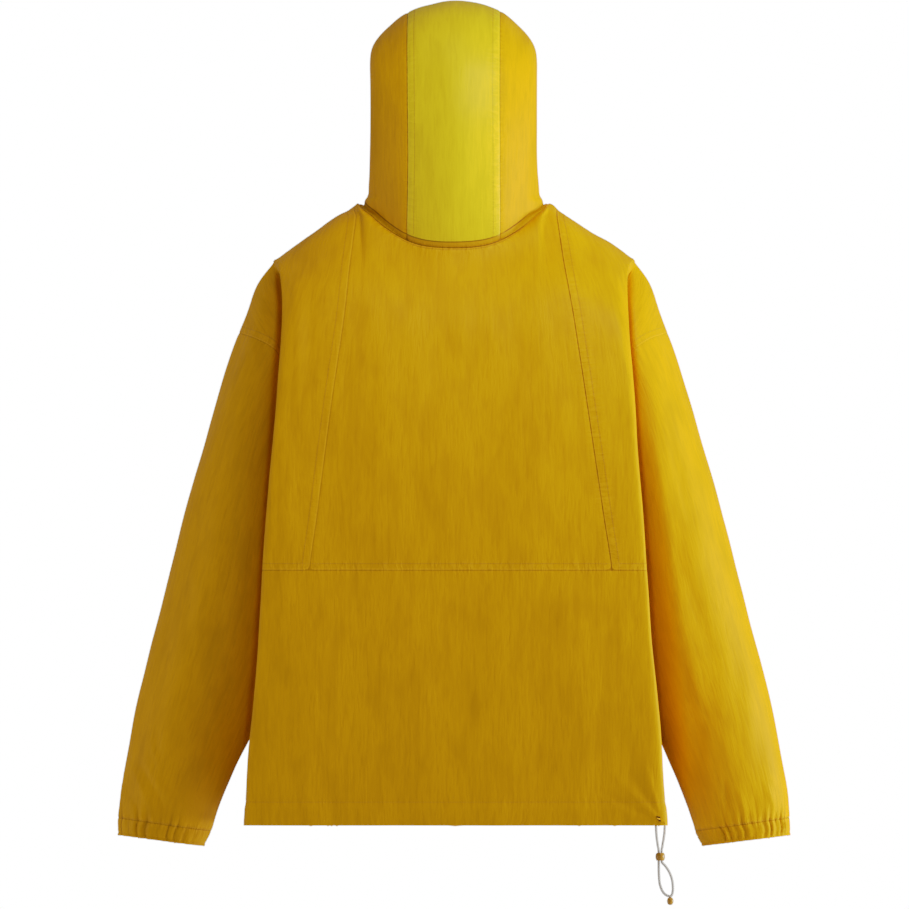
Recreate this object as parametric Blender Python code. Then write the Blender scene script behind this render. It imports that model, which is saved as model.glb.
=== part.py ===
"""Anorak pullover in light nylon, filled out as if worn, with its hood up and its arms hanging.

The garment is one quilt of cloth panels: a back with a tapered centre panel, two side panels and a
lower panel, a plain front, two drop-shoulder sleeves with elastic cuffs, and a three-panel hood.
The panels are laid out as grids of points on one shared surface, so that neighbours meet at their
seams. Each panel is then given its wall and drawn back from its seams by half a seam gap.

Metres. +Z is up, the wearer faces -Y and the wearer's left arm is at +X. The origin lies between
the shoulders, level with the sides of the neck, where the wearer carries the garment.
"""

import math

import bmesh
import bpy
import numpy as np

# ---------------------------------------------------------------- cloth
WALL = 0.0012
SEAM_GAP = 0.0003
HEM_BULGE = 0.0012
SHARP_ANGLE = 50.0

# ---------------------------------------------------------------- neck and shoulders
NECK_HALF_WIDTH = 0.111
NECK_SIDE_Y = -0.008
NECK_SIDE_Z = 0.0015
NECK_BACK_Y = 0.075
NECK_BACK_Z = -0.050
NECK_FRONT_Y = -0.088
NECK_FRONT_Z = -0.084
NECK_BACK_POWER = 2.6
NECK_FRONT_POWER = 2.2
SHOULDER_ROUNDING = 0.105
ROUNDNESS_MIDDLE = 0.80
ROUNDNESS_SHOULDER = 0.50

# The ridge of the shoulder from the side of the neck, past the fold of the back, to the armhole.
RIDGE = [
    # x, y, z
    (0.1110, -0.008, 0.0015),
    (0.1290, -0.007, -0.0060),
    (0.1500, -0.006, -0.0190),
    (0.1740, -0.005, -0.0350),
    (0.2040, -0.005, -0.0552),
    (0.2150, -0.005, -0.0640),
    (0.2235, -0.005, -0.0722),
    (0.2310, -0.006, -0.0840),
    (0.2385, -0.006, -0.1020),
    (0.2480, -0.006, -0.1260),
    (0.2590, -0.006, -0.1520),
]
FOLD_TOP_X = 0.2145
CREASE_TOP_X = 0.2195

# ---------------------------------------------------------------- body
# Level sections of the body. The back and the front each end at a fold beside the arm, and turn in
# from there to the side seam, which lies in a groove that the sleeve hangs in.
BODY = [
    # z, fold_x, fold_back_y, fold_front_y, back_y, front_y, side_x, side_y
    (-0.743, 0.2528, 0.046, -0.050, 0.134, -0.132, 0.2460, -0.004),
    (-0.697, 0.2500, 0.054, -0.062, 0.133, -0.132, 0.2330, -0.010),
    (-0.650, 0.2475, 0.060, -0.070, 0.132, -0.131, 0.2200, -0.014),
    (-0.593, 0.2425, 0.064, -0.076, 0.131, -0.131, 0.2040, -0.017),
    (-0.521, 0.2360, 0.066, -0.081, 0.130, -0.130, 0.1900, -0.018),
    (-0.437, 0.2300, 0.068, -0.082, 0.130, -0.129, 0.1830, -0.016),
    (-0.353, 0.2235, 0.071, -0.082, 0.130, -0.127, 0.1780, -0.013),
    (-0.300, 0.2190, 0.073, -0.081, 0.129, -0.125, 0.1760, -0.010),
    (-0.244, 0.2155, 0.074, -0.079, 0.128, -0.121, 0.1760, -0.010),
    (-0.208, 0.2130, 0.074, -0.077, 0.126, -0.117, 0.1760, -0.010),
    (-0.152, 0.2085, 0.073, -0.075, 0.119, -0.107, 0.1760, -0.010),
    (-0.115, 0.2070, 0.072, -0.073, 0.108, -0.097, 0.1760, -0.010),
    (-0.084, 0.2085, 0.071, -0.071, 0.094, -0.088, 0.1760, -0.010),
    (-0.050, 0.2145, 0.070, -0.070, 0.075, -0.078, 0.1760, -0.010),
]
SECTION_POWER = 2.6
FRONT_FOLD_INSET = 0.003
FRONT_INSET_TOP_Z = -0.10
FRONT_INSET_FADE = 0.08
FOLD_TURN_IN = 0.72
FOLD_TURN_BACK = 0.16
GROOVE_TURN = 0.62
STRIP_FADE_ROWS = 0.20
CAP_WAY_OUT = 0.80
CAP_WAY_BACK = 0.42
CAP_WAY_DOWN = 0.15
CAP_WAY_DOWN_TOP = 0.45
SEAM_LIMIT = 0.97

# The bottom of the crease between body and arm, above the underarm.
CREASE = [
    # z, x, back_y, front_y
    (-0.300, 0.1760, -0.010, -0.010),
    (-0.262, 0.1770, 0.014, -0.034),
    (-0.215, 0.1825, 0.034, -0.048),
    (-0.170, 0.1870, 0.044, -0.052),
    (-0.128, 0.1930, 0.044, -0.048),
    (-0.095, 0.2030, 0.028, -0.030),
    (-0.0680, 0.2195, -0.0050, -0.0050),
]
UNDERARM_Z = -0.300

# The armhole seam, from the underarm (at 0) up to the shoulder ridge (at 1).
ARMHOLE = [
    # along, x, back_y, front_y, z
    (0.00, 0.1760, -0.010, -0.010, -0.300),
    (0.10, 0.1870, 0.006, -0.027, -0.291),
    (0.22, 0.1950, 0.025, -0.049, -0.268),
    (0.36, 0.1980, 0.043, -0.063, -0.233),
    (0.50, 0.2050, 0.053, -0.069, -0.202),
    (0.66, 0.2150, 0.057, -0.068, -0.174),
    (0.83, 0.2400, 0.040, -0.048, -0.158),
    (1.00, 0.2590, -0.006, -0.006, -0.152),
]

# The tapered centre panel of the back: its seams, at the shoulder and at the level seam.
BACK_SEAM_TOP_X = {1: 0.1150, -1: 0.1230}
BACK_SEAM_LOW_X = {1: 0.1740, -1: 0.1880}
BACK_SEAM_TOP_Z = -0.002
LEVEL_SEAM_Z = -0.437

# ---------------------------------------------------------------- sleeves
SLEEVE_OUTER = [
    # x, z
    (0.2590, -0.152),
    (0.2695, -0.185),
    (0.2845, -0.232),
    (0.3020, -0.293),
    (0.3192, -0.353),
    (0.3352, -0.413),
    (0.3508, -0.473),
    (0.3650, -0.533),
    (0.3795, -0.593),
    (0.3915, -0.653),
    (0.3985, -0.690),
    (0.4025, -0.715),
    (0.4038, -0.737),
]
SLEEVE_INNER = [
    # x, z
    (0.1760, -0.300),
    (0.1845, -0.322),
    (0.1900, -0.353),
    (0.1985, -0.437),
    (0.2080, -0.521),
    (0.2275, -0.596),
    (0.2505, -0.648),
    (0.2690, -0.690),
    (0.2840, -0.727),
    (0.2925, -0.752),
]
SLEEVE_DEPTH = [
    # along, half_depth, centre_y
    (0.00, 0.064, -0.006),
    (0.15, 0.070, -0.008),
    (0.35, 0.067, -0.011),
    (0.60, 0.058, -0.020),
    (0.80, 0.050, -0.032),
    (0.93, 0.042, -0.042),
    (1.00, 0.036, -0.047),
]
SLEEVE_ROWS = [0.0, 0.06, 0.13, 0.21, 0.31, 0.42, 0.54, 0.66, 0.77, 0.86]
GATHER_ROWS = [0.91, 0.955, 1.0]
ARMHOLE_FADE = 0.34
CUFF_END_OUTER = (0.4043, -0.757)
CUFF_END_INNER = (0.3010, -0.770)
CUFF_END_HALF_DEPTH = 0.034
CUFF_END_Y = -0.049
CUFF_ROWS = [0.0, 0.5, 1.0]
CUFF_GATHERS = 24
GATHER_DEPTH = 0.0024
GATHER_START = 0.86
GATHER_GROWTH = 1.5
SMOOTH_UNDERSIDE = 0.25
SMOOTH_SPREAD = 0.8

# ---------------------------------------------------------------- hood
HOOD_HALF_WIDTH = 0.1035
HOOD_CENTRE_HALF_WIDTH = 0.056
HOOD_ROUNDING = 0.060
HOOD_POWER = 1.65
HOOD_NECK_BLEND = 0.34
HOOD_BROW_START = 0.70
HOOD_EDGE_LAG = 0.36
HOOD_SIDE_TURN = 0.42
HOOD_FAN = 0.35
HOOD_THROAT = 0.075
RELAX_PASSES = 3
# The middle line of the hood, from the back of the neck over the crown to the brow.
HOOD_LINE = [
    # y, z
    (0.075, -0.050),
    (0.089, 0.000),
    (0.101, 0.055),
    (0.107, 0.110),
    (0.102, 0.163),
    (0.083, 0.207),
    (0.050, 0.235),
    (0.010, 0.2455),
    (-0.035, 0.244),
    (-0.075, 0.235),
    (-0.108, 0.221),
]
# The edge of the face opening, from the front of the neck up to the centre panel at the brow.
HOOD_EDGE = [
    # x, y, z
    (0.0000, -0.088, -0.084),
    (0.0360, -0.099, -0.056),
    (0.0630, -0.107, -0.010),
    (0.0790, -0.112, 0.045),
    (0.0850, -0.115, 0.100),
    (0.0830, -0.114, 0.150),
    (0.0730, -0.110, 0.188),
    (0.0560, -0.1063, 0.2048),
]
HOOD_RIBS = 17

# ---------------------------------------------------------------- hem cord
CORD_DIAMETER = 0.0028
CORD_SIDES_RESOLUTION = 2
CORD_STEP = 0.0030
# The loop of elastic cord, from the hem down through the stopper, round its tip and back up.
CORD_ROUTE = [
    # x, y, z
    (-0.2432, 0.0800, -0.7440),
    (-0.2436, 0.0765, -0.7530),
    (-0.2452, 0.0670, -0.7660),
    (-0.2467, 0.0600, -0.7765),
    (-0.2466, 0.0600, -0.7870),
    (-0.2467, 0.0600, -0.7980),
    (-0.2474, 0.0600, -0.8110),
    (-0.2506, 0.0600, -0.8220),
    (-0.2568, 0.0600, -0.8283),
    (-0.2602, 0.0600, -0.8291),
    (-0.2626, 0.0600, -0.8270),
    (-0.2638, 0.0600, -0.8200),
    (-0.2630, 0.0600, -0.8110),
    (-0.2598, 0.0600, -0.8010),
    (-0.2548, 0.0600, -0.7930),
    (-0.2502, 0.0600, -0.7870),
    (-0.2501, 0.0600, -0.7765),
    (-0.2516, 0.0560, -0.7660),
    (-0.2536, 0.0480, -0.7530),
    (-0.2542, 0.0440, -0.7440),
]
STOPPER_CENTRE = (-0.2484, 0.060, -0.7815)
STOPPER_RADIUS = 0.0056
STOPPER_HALF_HEIGHT = 0.0066
STOPPER_HOLE_RADIUS = 0.0036
STOPPER_WALL_ANGLE = 50.0
CORD_END_CENTRE = (-0.2604, 0.060, -0.8348)
CORD_END_RADIUS = 0.0038
CORD_END_HALF_HEIGHT = 0.0047
CORD_END_WALL_ANGLE = 60.0
ROUND_STEPS = 16

# ---------------------------------------------------------------- grid sizes
LOW_ROWS = [-0.743, -0.730, -0.717, -0.640, -0.540, -0.437, -0.392, -0.346, -0.300]
HEM_ROWS = {0: 0.4, 1: 1.0, 2: 0.0}
LEVEL_SEAM_ROW = LOW_ROWS.index(LEVEL_SEAM_Z)
UPPER_ROWS = 12
ROW_CROWDING = 1.5
NECK_ANGLES = [0.0, 15.1, 30.29, 50.0, 70.0, 90.0]
NECK_SIDE_COLUMN = len(NECK_ANGLES) - 1
SIDE_PANEL_STEPS = 4
STRIP_STEPS = 4
CAP_STEPS = 3
SEAM_COLUMN = NECK_SIDE_COLUMN + 1
RING = 2 * UPPER_ROWS
HOOD_CENTRE_STEPS = 2
HOOD_ROUND_STEPS = 4
HOOD_FLAT_STEPS = 4

# ---------------------------------------------------------------- colours
CLOTH = {"colour": (0.552, 0.296, 0.0035, 1.0), "roughness": 0.55}
CENTRE_CLOTH = {"colour": (0.665, 0.520, 0.018, 1.0), "roughness": 0.50}
CORD_FINISH = {"colour": (0.62, 0.60, 0.57, 1.0), "roughness": 0.45}
BEAD_FINISH = {"colour": (0.46, 0.22, 0.006, 1.0), "roughness": 0.35}


# ================================================================ curves
def hermite_slopes(keys, values):
    """Slopes of a smooth curve through the values that doesn't overshoot between them."""
    steps = np.diff(keys)
    rates = np.diff(values, axis=0) / steps[:, None]
    slopes = np.zeros_like(values)
    slopes[0], slopes[-1] = rates[0], rates[-1]
    same_way = rates[:-1] * rates[1:] > 0
    first = (2 * steps[1:] + steps[:-1])[:, None]
    second = (steps[1:] + 2 * steps[:-1])[:, None]
    with np.errstate(divide="ignore", invalid="ignore"):
        mean = (first + second) / (first / rates[:-1] + second / rates[1:])
    slopes[1:-1] = np.where(same_way, mean, 0.0)
    return slopes


def smooth(keys, values, at):
    """Reads a table of values smoothly: keys rise, values has a row for each key."""
    keys = np.asarray(keys, float)
    values = np.asarray(values, float).reshape(len(keys), -1)
    slopes = hermite_slopes(keys, values)
    at = np.clip(np.atleast_1d(at), keys[0], keys[-1])
    low = np.clip(np.searchsorted(keys, at, side="right") - 1, 0, len(keys) - 2)
    step = (keys[low + 1] - keys[low])[:, None]
    t = ((at - keys[low]) / (keys[low + 1] - keys[low]))[:, None]
    return (
        (2 * t**3 - 3 * t**2 + 1) * values[low]
        + (t**3 - 2 * t**2 + t) * step * slopes[low]
        + (3 * t**2 - 2 * t**3) * values[low + 1]
        + (t**3 - t**2) * step * slopes[low + 1]
    )


def lengths(points):
    """How far along its own line each point lies, from 0 to 1."""
    points = np.asarray(points, float)
    along = np.concatenate([[0.0], np.cumsum(np.linalg.norm(np.diff(points, axis=0), axis=1))])
    return along / along[-1]


def bezier(start, first, second, end, t):
    t = np.asarray(t)[:, None]
    return (
        (1 - t) ** 3 * start
        + 3 * (1 - t) ** 2 * t * first
        + 3 * (1 - t) * t**2 * second
        + t**3 * end
    )


def mix(low, high, share):
    return low + (high - low) * share


def ease(t):
    t = np.clip(t, 0.0, 1.0)
    return t * t * (3 - 2 * t)


BODY_KEYS = [row[0] for row in BODY]
BODY_VALUES = [row[1:] for row in BODY]
CREASE_KEYS = [row[0] for row in CREASE]
CREASE_VALUES = [row[1:] for row in CREASE]
RIDGE_ALONG = lengths(RIDGE)


def body_section(z, face):
    """Fold x, fold y, middle y, side x and side y at a level; face is 1 for the back, -1 for the front."""
    fold_x, fold_back, fold_front, back, front, side_x, side_y = smooth(BODY_KEYS, BODY_VALUES, z)[0]
    if face > 0:
        return fold_x, fold_back, back, side_x, side_y
    inset = FRONT_FOLD_INSET * ease((FRONT_INSET_TOP_Z - z) / FRONT_INSET_FADE)
    return fold_x - inset, fold_front, front, side_x, side_y


def ridge_point(along):
    return smooth(RIDGE_ALONG, RIDGE, along)[0]


def ridge_along(x):
    """Where the shoulder ridge has this x. The ridge runs outwards all the way."""
    return float(np.interp(x, [p[0] for p in RIDGE], RIDGE_ALONG))


def neck_point(x, face):
    """A point of the neck seam over x, on the back or the front."""
    share = min(abs(x) / NECK_HALF_WIDTH, 1.0)
    middle_y, middle_z, power = (
        (NECK_BACK_Y, NECK_BACK_Z, NECK_BACK_POWER)
        if face > 0
        else (NECK_FRONT_Y, NECK_FRONT_Z, NECK_FRONT_POWER)
    )
    y = mix(NECK_SIDE_Y, middle_y, math.sqrt(1 - share**2))
    z = mix(middle_z, NECK_SIDE_Z, share**power)
    return np.array([x, y, z])


def top_point(x, face):
    """The upper edge of the body over x: neck seam inside the neck's width, shoulder ridge outside it."""
    if abs(x) <= NECK_HALF_WIDTH:
        return neck_point(x, face)
    return ridge_point(ridge_along(abs(x)))


def body_point(x, z, face):
    """The point of the back or the front over x, z."""
    fold_x, fold_y, middle_y, _, _ = body_section(z, face)
    share = min(x / fold_x, 1.0)
    section_y = fold_y + (middle_y - fold_y) * (1 - share**SECTION_POWER) ** (1 / SECTION_POWER)
    top = top_point(x, face)
    drop = np.clip((top[2] - z) / SHOULDER_ROUNDING, 0.0, 1.0)
    near_neck = min(x / NECK_HALF_WIDTH, 1.0) ** 2
    rise = (1 - (1 - drop) ** 2) ** mix(ROUNDNESS_MIDDLE, ROUNDNESS_SHOULDER, near_neck)
    return np.array([x, mix(top[1], section_y, rise), z])


# ================================================================ body grids
def top_columns(side):
    """The columns' x along the upper edge, from the middle to the fold."""
    neck = [NECK_HALF_WIDTH * math.sin(math.radians(a)) for a in NECK_ANGLES]
    seam = BACK_SEAM_TOP_X[side]
    outer = np.linspace(seam, FOLD_TOP_X, SIDE_PANEL_STEPS + 1)
    return neck + list(outer)


def seam_x(z, side):
    """The tapered back seam, straight from the shoulder to the level seam and on below it."""
    share = (BACK_SEAM_TOP_Z - z) / (BACK_SEAM_TOP_Z - LEVEL_SEAM_Z)
    return mix(BACK_SEAM_TOP_X[side], BACK_SEAM_LOW_X[side], share)


def low_columns(z, face, side):
    """The columns' x across a level section, closer together towards the fold."""
    fold_x = body_section(z, face)[0]
    seam = min(seam_x(max(z, LEVEL_SEAM_Z), side), SEAM_LIMIT * fold_x)
    seam_turn = math.asin((seam / fold_x) ** (SECTION_POWER / 2))
    inner = np.linspace(0, seam_turn, SEAM_COLUMN + 1)
    outer = np.linspace(seam_turn, math.pi / 2, SIDE_PANEL_STEPS + 1)
    return [fold_x * math.sin(turn) ** (2 / SECTION_POWER) for turn in [*inner[:-1], *outer]]


def side_strip(fold, bottom, depth_scale):
    """Points from the fold in to the bottom of the groove or crease."""
    inwards, reach = fold[0] - bottom[0], (fold[1] - bottom[1]) * depth_scale
    first = fold - np.array([FOLD_TURN_IN * inwards, FOLD_TURN_BACK * reach, 0])
    second = bottom + np.array([0, GROOVE_TURN * reach, 0])
    steps = np.linspace(0, 1, STRIP_STEPS + 1)[1:]
    return list(bezier(fold, first, second, bottom, steps))


def armhole_point(along, face):
    x, back_y, front_y, z = smooth([r[0] for r in ARMHOLE], [r[1:] for r in ARMHOLE], along)[0]
    return np.array([x, back_y if face > 0 else front_y, z])


def crease_point(z, face):
    x, back_y, front_y = smooth(CREASE_KEYS, CREASE_VALUES, z)[0]
    return np.array([x, back_y if face > 0 else front_y, z])


def cap_strip(bottom, edge, along, face, sleeve_way):
    """Points from the crease out over the arm to the armhole seam."""
    span = np.linalg.norm(edge - bottom)
    down = mix(CAP_WAY_DOWN, CAP_WAY_DOWN_TOP + CAP_WAY_DOWN, along)
    out_way = np.array([CAP_WAY_OUT, CAP_WAY_BACK * face * (1 - along), -down])
    out_way /= np.linalg.norm(out_way)
    first = bottom + out_way * span / 3
    second = edge - sleeve_way * span / 3
    steps = np.linspace(0, 1, CAP_STEPS + 1)[1:]
    return list(bezier(bottom, first, second, edge, steps))


def body_grid(face, side):
    """The points of one half of the back or the front, a row at a time from the hem to the top. The side is 1 for the wearer's left; x is positive here and turned later."""
    rows = []
    for z in LOW_ROWS:
        columns = [body_point(x, z, face) for x in low_columns(z, face, side)]
        section = body_section(z, face)
        bottom = np.array([section[3], section[4], z])
        columns += side_strip(columns[-1], bottom, 1.0)
        rows.append(columns + [bottom] * CAP_STEPS)
    tops = top_columns(side)
    for step in range(1, UPPER_ROWS + 1):
        share = step / UPPER_ROWS
        climb = 1 - (1 - share) ** ROW_CROWDING
        if step == UPPER_ROWS:
            rows.append(top_row(tops, face))
            continue
        columns = []
        for k, top_x in enumerate(tops):
            top_z = top_point(top_x, face)[2]
            z = mix(UNDERARM_Z, top_z, climb)
            low_x = low_columns(z, face, side)[k] if z < top_z else top_x
            x = mix(low_x, top_x, ease(climb) ** 2)
            if k == SEAM_COLUMN:
                x = seam_x(z, side)
            columns.append(body_point(min(x, body_section(z, face)[0]), z, face))
        fold = body_point(body_section(columns[-1][2], face)[0], columns[-1][2], face)
        columns[-1] = fold
        crease_z = mix(UNDERARM_Z, CREASE_KEYS[-1], climb)
        bottom = crease_point(crease_z, face)
        columns += side_strip(fold, bottom, min(1.0, (1 - share) / STRIP_FADE_ROWS))
        edge = armhole_point(share, face)
        columns += cap_strip(bottom, edge, share, face, sleeve_direction(share, face))
        rows.append(columns)
    return np.array(rows)


def top_row(tops, face):
    """The neck seam, then the shoulder ridge out to the armhole."""
    columns = [top_point(x, face) for x in tops]
    fold, crease = ridge_along(FOLD_TOP_X), ridge_along(CREASE_TOP_X)
    for first, last, count in ((fold, crease, STRIP_STEPS), (crease, 1.0, CAP_STEPS)):
        columns += [ridge_point(along) for along in np.linspace(first, last, count + 1)[1:]]
    return columns


# ================================================================ sleeves
def sleeve_frame(along):
    """Centre, half width, way across and half depth of the sleeve's ring at this share of its length."""
    outer_x, outer_z = smooth(lengths(SLEEVE_OUTER), SLEEVE_OUTER, along)[0]
    inner_x, inner_z = smooth(lengths(SLEEVE_INNER), SLEEVE_INNER, along)[0]
    half_depth, centre_y = smooth([r[0] for r in SLEEVE_DEPTH], [r[1:] for r in SLEEVE_DEPTH], along)[0]
    return ring_frame((outer_x, outer_z), (inner_x, inner_z), half_depth, centre_y)


def ring_frame(outer, inner, half_depth, centre_y):
    outer = np.array([outer[0], centre_y, outer[1]])
    inner = np.array([inner[0], centre_y, inner[1]])
    across = outer - inner
    width = np.linalg.norm(across)
    return (outer + inner) / 2, width / 2, across / width, half_depth


def ring_point(frame, turn):
    centre, half_width, across, half_depth = frame
    return centre + across * half_width * math.cos(turn) + np.array([0, half_depth * math.sin(turn), 0])


def sleeve_point(along, turn):
    """A point of the sleeve; turn 0 is the outer side, and a quarter turn the back."""
    point = ring_point(sleeve_frame(along), turn)
    fade = max(0.0, 1 - along / ARMHOLE_FADE) ** 2
    if fade > 0:
        back = math.sin(turn) >= 0
        share = 1 - (turn if back else 2 * math.pi - turn) / math.pi
        seam = armhole_point(share, 1 if back else -1)
        point = point + (seam - ring_point(sleeve_frame(0.0), turn)) * fade
    return point


def sleeve_direction(share, face):
    """The way that the sleeve leaves the armhole seam."""
    turn = math.pi * (1 - share)
    turn = turn if face > 0 else 2 * math.pi - turn
    way = sleeve_point(0.05, turn % (2 * math.pi)) - armhole_point(share, face)
    return way / np.linalg.norm(way)


def gather_depth(turn):
    """How deep the gathers are round the cuff: nearly smooth along the underside of the arm."""
    return GATHER_DEPTH * mix(SMOOTH_UNDERSIDE, 1.0, ease(SMOOTH_SPREAD + math.cos(turn)))


def ring_points(frame_or_along, count, gather):
    """A ring of points round the sleeve or cuff. Every second point stands in by the gathers' depth."""
    points = []
    for k in range(count):
        turn = 2 * math.pi * k / count
        if isinstance(frame_or_along, tuple):
            point, centre = ring_point(frame_or_along, turn), frame_or_along[0]
        else:
            point, centre = sleeve_point(frame_or_along, turn), sleeve_frame(frame_or_along)[0]
        if gather:
            way = (point - centre) / np.linalg.norm(point - centre)
            point = point + way * gather * gather_depth(turn) * (0.5 if k % 2 == 0 else -0.5)
        points.append(point)
    return points


def sleeve_rings():
    rings = [ring_points(along, RING, 0.0) for along in SLEEVE_ROWS]
    for along in GATHER_ROWS:
        growth = ((along - GATHER_START) / (1 - GATHER_START)) ** GATHER_GROWTH
        rings.append(ring_points(along, 2 * CUFF_GATHERS, growth))
    return rings


def cuff_rings():
    start = sleeve_frame(1.0)
    end = ring_frame(CUFF_END_OUTER, CUFF_END_INNER, CUFF_END_HALF_DEPTH, CUFF_END_Y)
    rings = []
    for row in CUFF_ROWS:
        across = mix(start[2], end[2], row)
        frame = (
            mix(start[0], end[0], row),
            mix(start[1], end[1], row),
            across / np.linalg.norm(across),
            mix(start[3], end[3], row),
        )
        rings.append(ring_points(frame, 2 * CUFF_GATHERS, 1.0))
    return rings


# ================================================================ hood
def hood_line(along):
    """The middle line's point and outward way at this share of its length."""
    keys = lengths(HOOD_LINE)
    y, z = smooth(keys, HOOD_LINE, along)[0]
    low, high = smooth(keys, HOOD_LINE, [max(along - 0.01, 0), min(along + 0.01, 1)])
    run = (high - low) / np.linalg.norm(high - low)
    return np.array([0.0, y, z]), np.array([0.0, run[1], -run[0]])


def hood_across(point, out, x):
    """A point of the hood x away from its middle line, across the crown or the back of the head."""
    share = min(x / HOOD_HALF_WIDTH, 1.0)
    dip = HOOD_ROUNDING * (1 - (1 - share**HOOD_POWER) ** (1 / HOOD_POWER))
    return np.array([x, point[1], point[2]]) - out * dip


def hood_rib(along, side):
    """Points across the hood, from its middle line to the edge of the face opening. The ribs' outer stretches shrink to a point at the brow."""
    point, out = hood_line(along)
    centre_turn = math.asin((HOOD_CENTRE_HALF_WIDTH / HOOD_HALF_WIDTH) ** (HOOD_POWER / 2))
    turns = np.linspace(centre_turn, math.pi / 2, HOOD_ROUND_STEPS + 1)
    centre_xs = np.linspace(0, HOOD_CENTRE_HALF_WIDTH, HOOD_CENTRE_STEPS + 1)
    rib = [hood_across(point, out, x) for x in centre_xs[:-1]]
    round_side = [
        hood_across(point, out, HOOD_HALF_WIDTH * math.sin(turn) ** (2 / HOOD_POWER)) for turn in turns
    ]
    size = math.cos(math.pi / 2 * max(0.0, (along - HOOD_BROW_START) / (1 - HOOD_BROW_START)) ** 1.5)
    rib += [mix(round_side[0], corner, size) for corner in round_side]
    edge_along = along - HOOD_EDGE_LAG * along * (1 - along)
    edge = smooth(lengths(HOOD_EDGE), HOOD_EDGE, edge_along)[0]
    last = rib[-1]
    reach = np.linalg.norm(edge - last)
    leave = mix(-out, (edge - last) / max(reach, 1e-9), HOOD_FAN)
    lean = math.pi / 2 * min(edge[0] / HOOD_THROAT, 1.0)
    arrive = np.array([-math.cos(lean), -math.sin(lean), 0.0])
    first, second = last + leave * reach * HOOD_SIDE_TURN, edge - arrive * reach * HOOD_SIDE_TURN
    rib += list(bezier(last, first, second, edge, np.linspace(0, 1, HOOD_FLAT_STEPS + 1)[1:]))
    if along == 1.0:
        rib[HOOD_CENTRE_STEPS:] = [rib[HOOD_CENTRE_STEPS]] * len(rib[HOOD_CENTRE_STEPS:])
    neck = [top_point(x, 1) for x in top_columns(side)[: NECK_SIDE_COLUMN + 1]]
    neck += [top_point(x, -1) for x in top_columns(side)[NECK_SIDE_COLUMN - 1 :: -1]]
    near_neck = (1 - ease(along / HOOD_NECK_BLEND)) if along else 1.0
    return [mix(free, seam, near_neck) for free, seam in zip(rib, neck)]


def hood_grid(side):
    grid = np.array([hood_rib(k / HOOD_RIBS, side) for k in range(HOOD_RIBS + 1)])
    return relaxed(grid, slice(1, -1), slice(HOOD_CENTRE_STEPS + 1, -1), RELAX_PASSES)


def relaxed(grid, rows, columns, passes):
    """The grid with these inner points eased towards the middle of their neighbours."""
    grid = grid.copy()
    for _ in range(passes):
        around = np.zeros_like(grid)
        around[1:-1, 1:-1] = (grid[:-2, 1:-1] + grid[2:, 1:-1] + grid[1:-1, :-2] + grid[1:-1, 2:]) / 4
        grid[rows, columns] = mix(grid[rows, columns], around[rows, columns], 0.5)
    return grid


# ================================================================ cloth from grids
class Cloth:
    """All the panels on one shared surface: points, faces, and the panel that each face belongs to."""

    def __init__(self):
        self.points, self.index, self.faces, self.panels, self.bulge = [], {}, [], [], []

    def add_point(self, point, bulge=0.0):
        key = tuple(np.round(np.asarray(point) / 1e-6).astype(int))
        if key not in self.index:
            self.index[key] = len(self.points)
            self.points.append(np.asarray(point, float))
            self.bulge.append(bulge)
        return self.index[key]

    def add_face(self, corners, panel, turned):
        """Adds a face. It stays split from its first corner, so that mirrored faces match."""
        ring = [c for k, c in enumerate(corners) if c != corners[k - 1]]
        if len(ring) >= 3:
            self.faces.append((ring[0], *reversed(ring[1:])) if turned else tuple(ring))
            self.panels.append(panel)

    def add_grid(self, grid, panel_of, turned, bulge_of=lambda row: 0.0):
        ids = [[self.add_point(p, bulge_of(r)) for p in row] for r, row in enumerate(grid)]
        for r in range(len(ids) - 1):
            for c in range(len(ids[r]) - 1):
                corners = (ids[r][c], ids[r][c + 1], ids[r + 1][c + 1], ids[r + 1][c])
                self.add_face(corners, panel_of(r, c), turned)

    def add_rings(self, rings, panel, turned):
        """Rings of a tube. A ring may have twice the points of the one before it."""
        ids = [[self.add_point(p) for p in ring] for ring in rings]
        for upper, lower in zip(ids, ids[1:]):
            count, times = len(upper), len(lower) // len(upper)
            for k in range(count):
                low = [lower[(k * times + j) % len(lower)] for j in range(times + 1)]
                corners = [upper[k], *low, upper[(k + 1) % count]]
                if times == 1 and k >= count // 2:
                    corners = corners[-1:] + corners[:-1]
                self.add_face(corners, panel, turned)

    def normals(self):
        """Each point's outward way, shared by all the panels that meet there."""
        points = np.array(self.points)
        out = np.zeros_like(points)
        for face in self.faces:
            corners = points[list(face)]
            after, before = np.roll(corners, -1, axis=0), np.roll(corners, 1, axis=0)
            area = np.cross(corners, after).sum(axis=0)
            area /= max(np.linalg.norm(area), 1e-12)
            one, two = after - corners, before - corners
            lean = (one * two).sum(1) / np.maximum(
                np.linalg.norm(one, axis=1) * np.linalg.norm(two, axis=1), 1e-12
            )
            angles = np.arccos(np.clip(lean, -1, 1))
            for corner, angle in zip(face, angles):
                out[corner] += area * angle
        return out / np.linalg.norm(out, axis=1)[:, None]


def drawn_back(cloth, normals, faces, shared):
    """The panel's points, drawn back by half a gap from each seam that it shares."""
    ends = {}
    for face in faces:
        for a, b in zip(face, face[1:] + face[:1]):
            ends[(a, b)] = face
    ways = {}
    for a, b in ends:
        if (b, a) in ends or frozenset((a, b)) not in shared:
            continue
        run = cloth.points[b] - cloth.points[a]
        for corner in (a, b):
            inward = np.cross(normals[corner], run)
            ways.setdefault(corner, []).append(inward / np.linalg.norm(inward))
    moved = {}
    for corner, found in ways.items():
        way = sum(found)
        lean = float(found[0] @ found[-1]) if len(found) > 1 else 1.0
        scale = 1.0 if len(found) == 1 else 1.0 / max(1 + lean, 0.3)
        moved[corner] = cloth.points[corner] + way * scale * SEAM_GAP / 2
    return moved, ends


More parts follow.
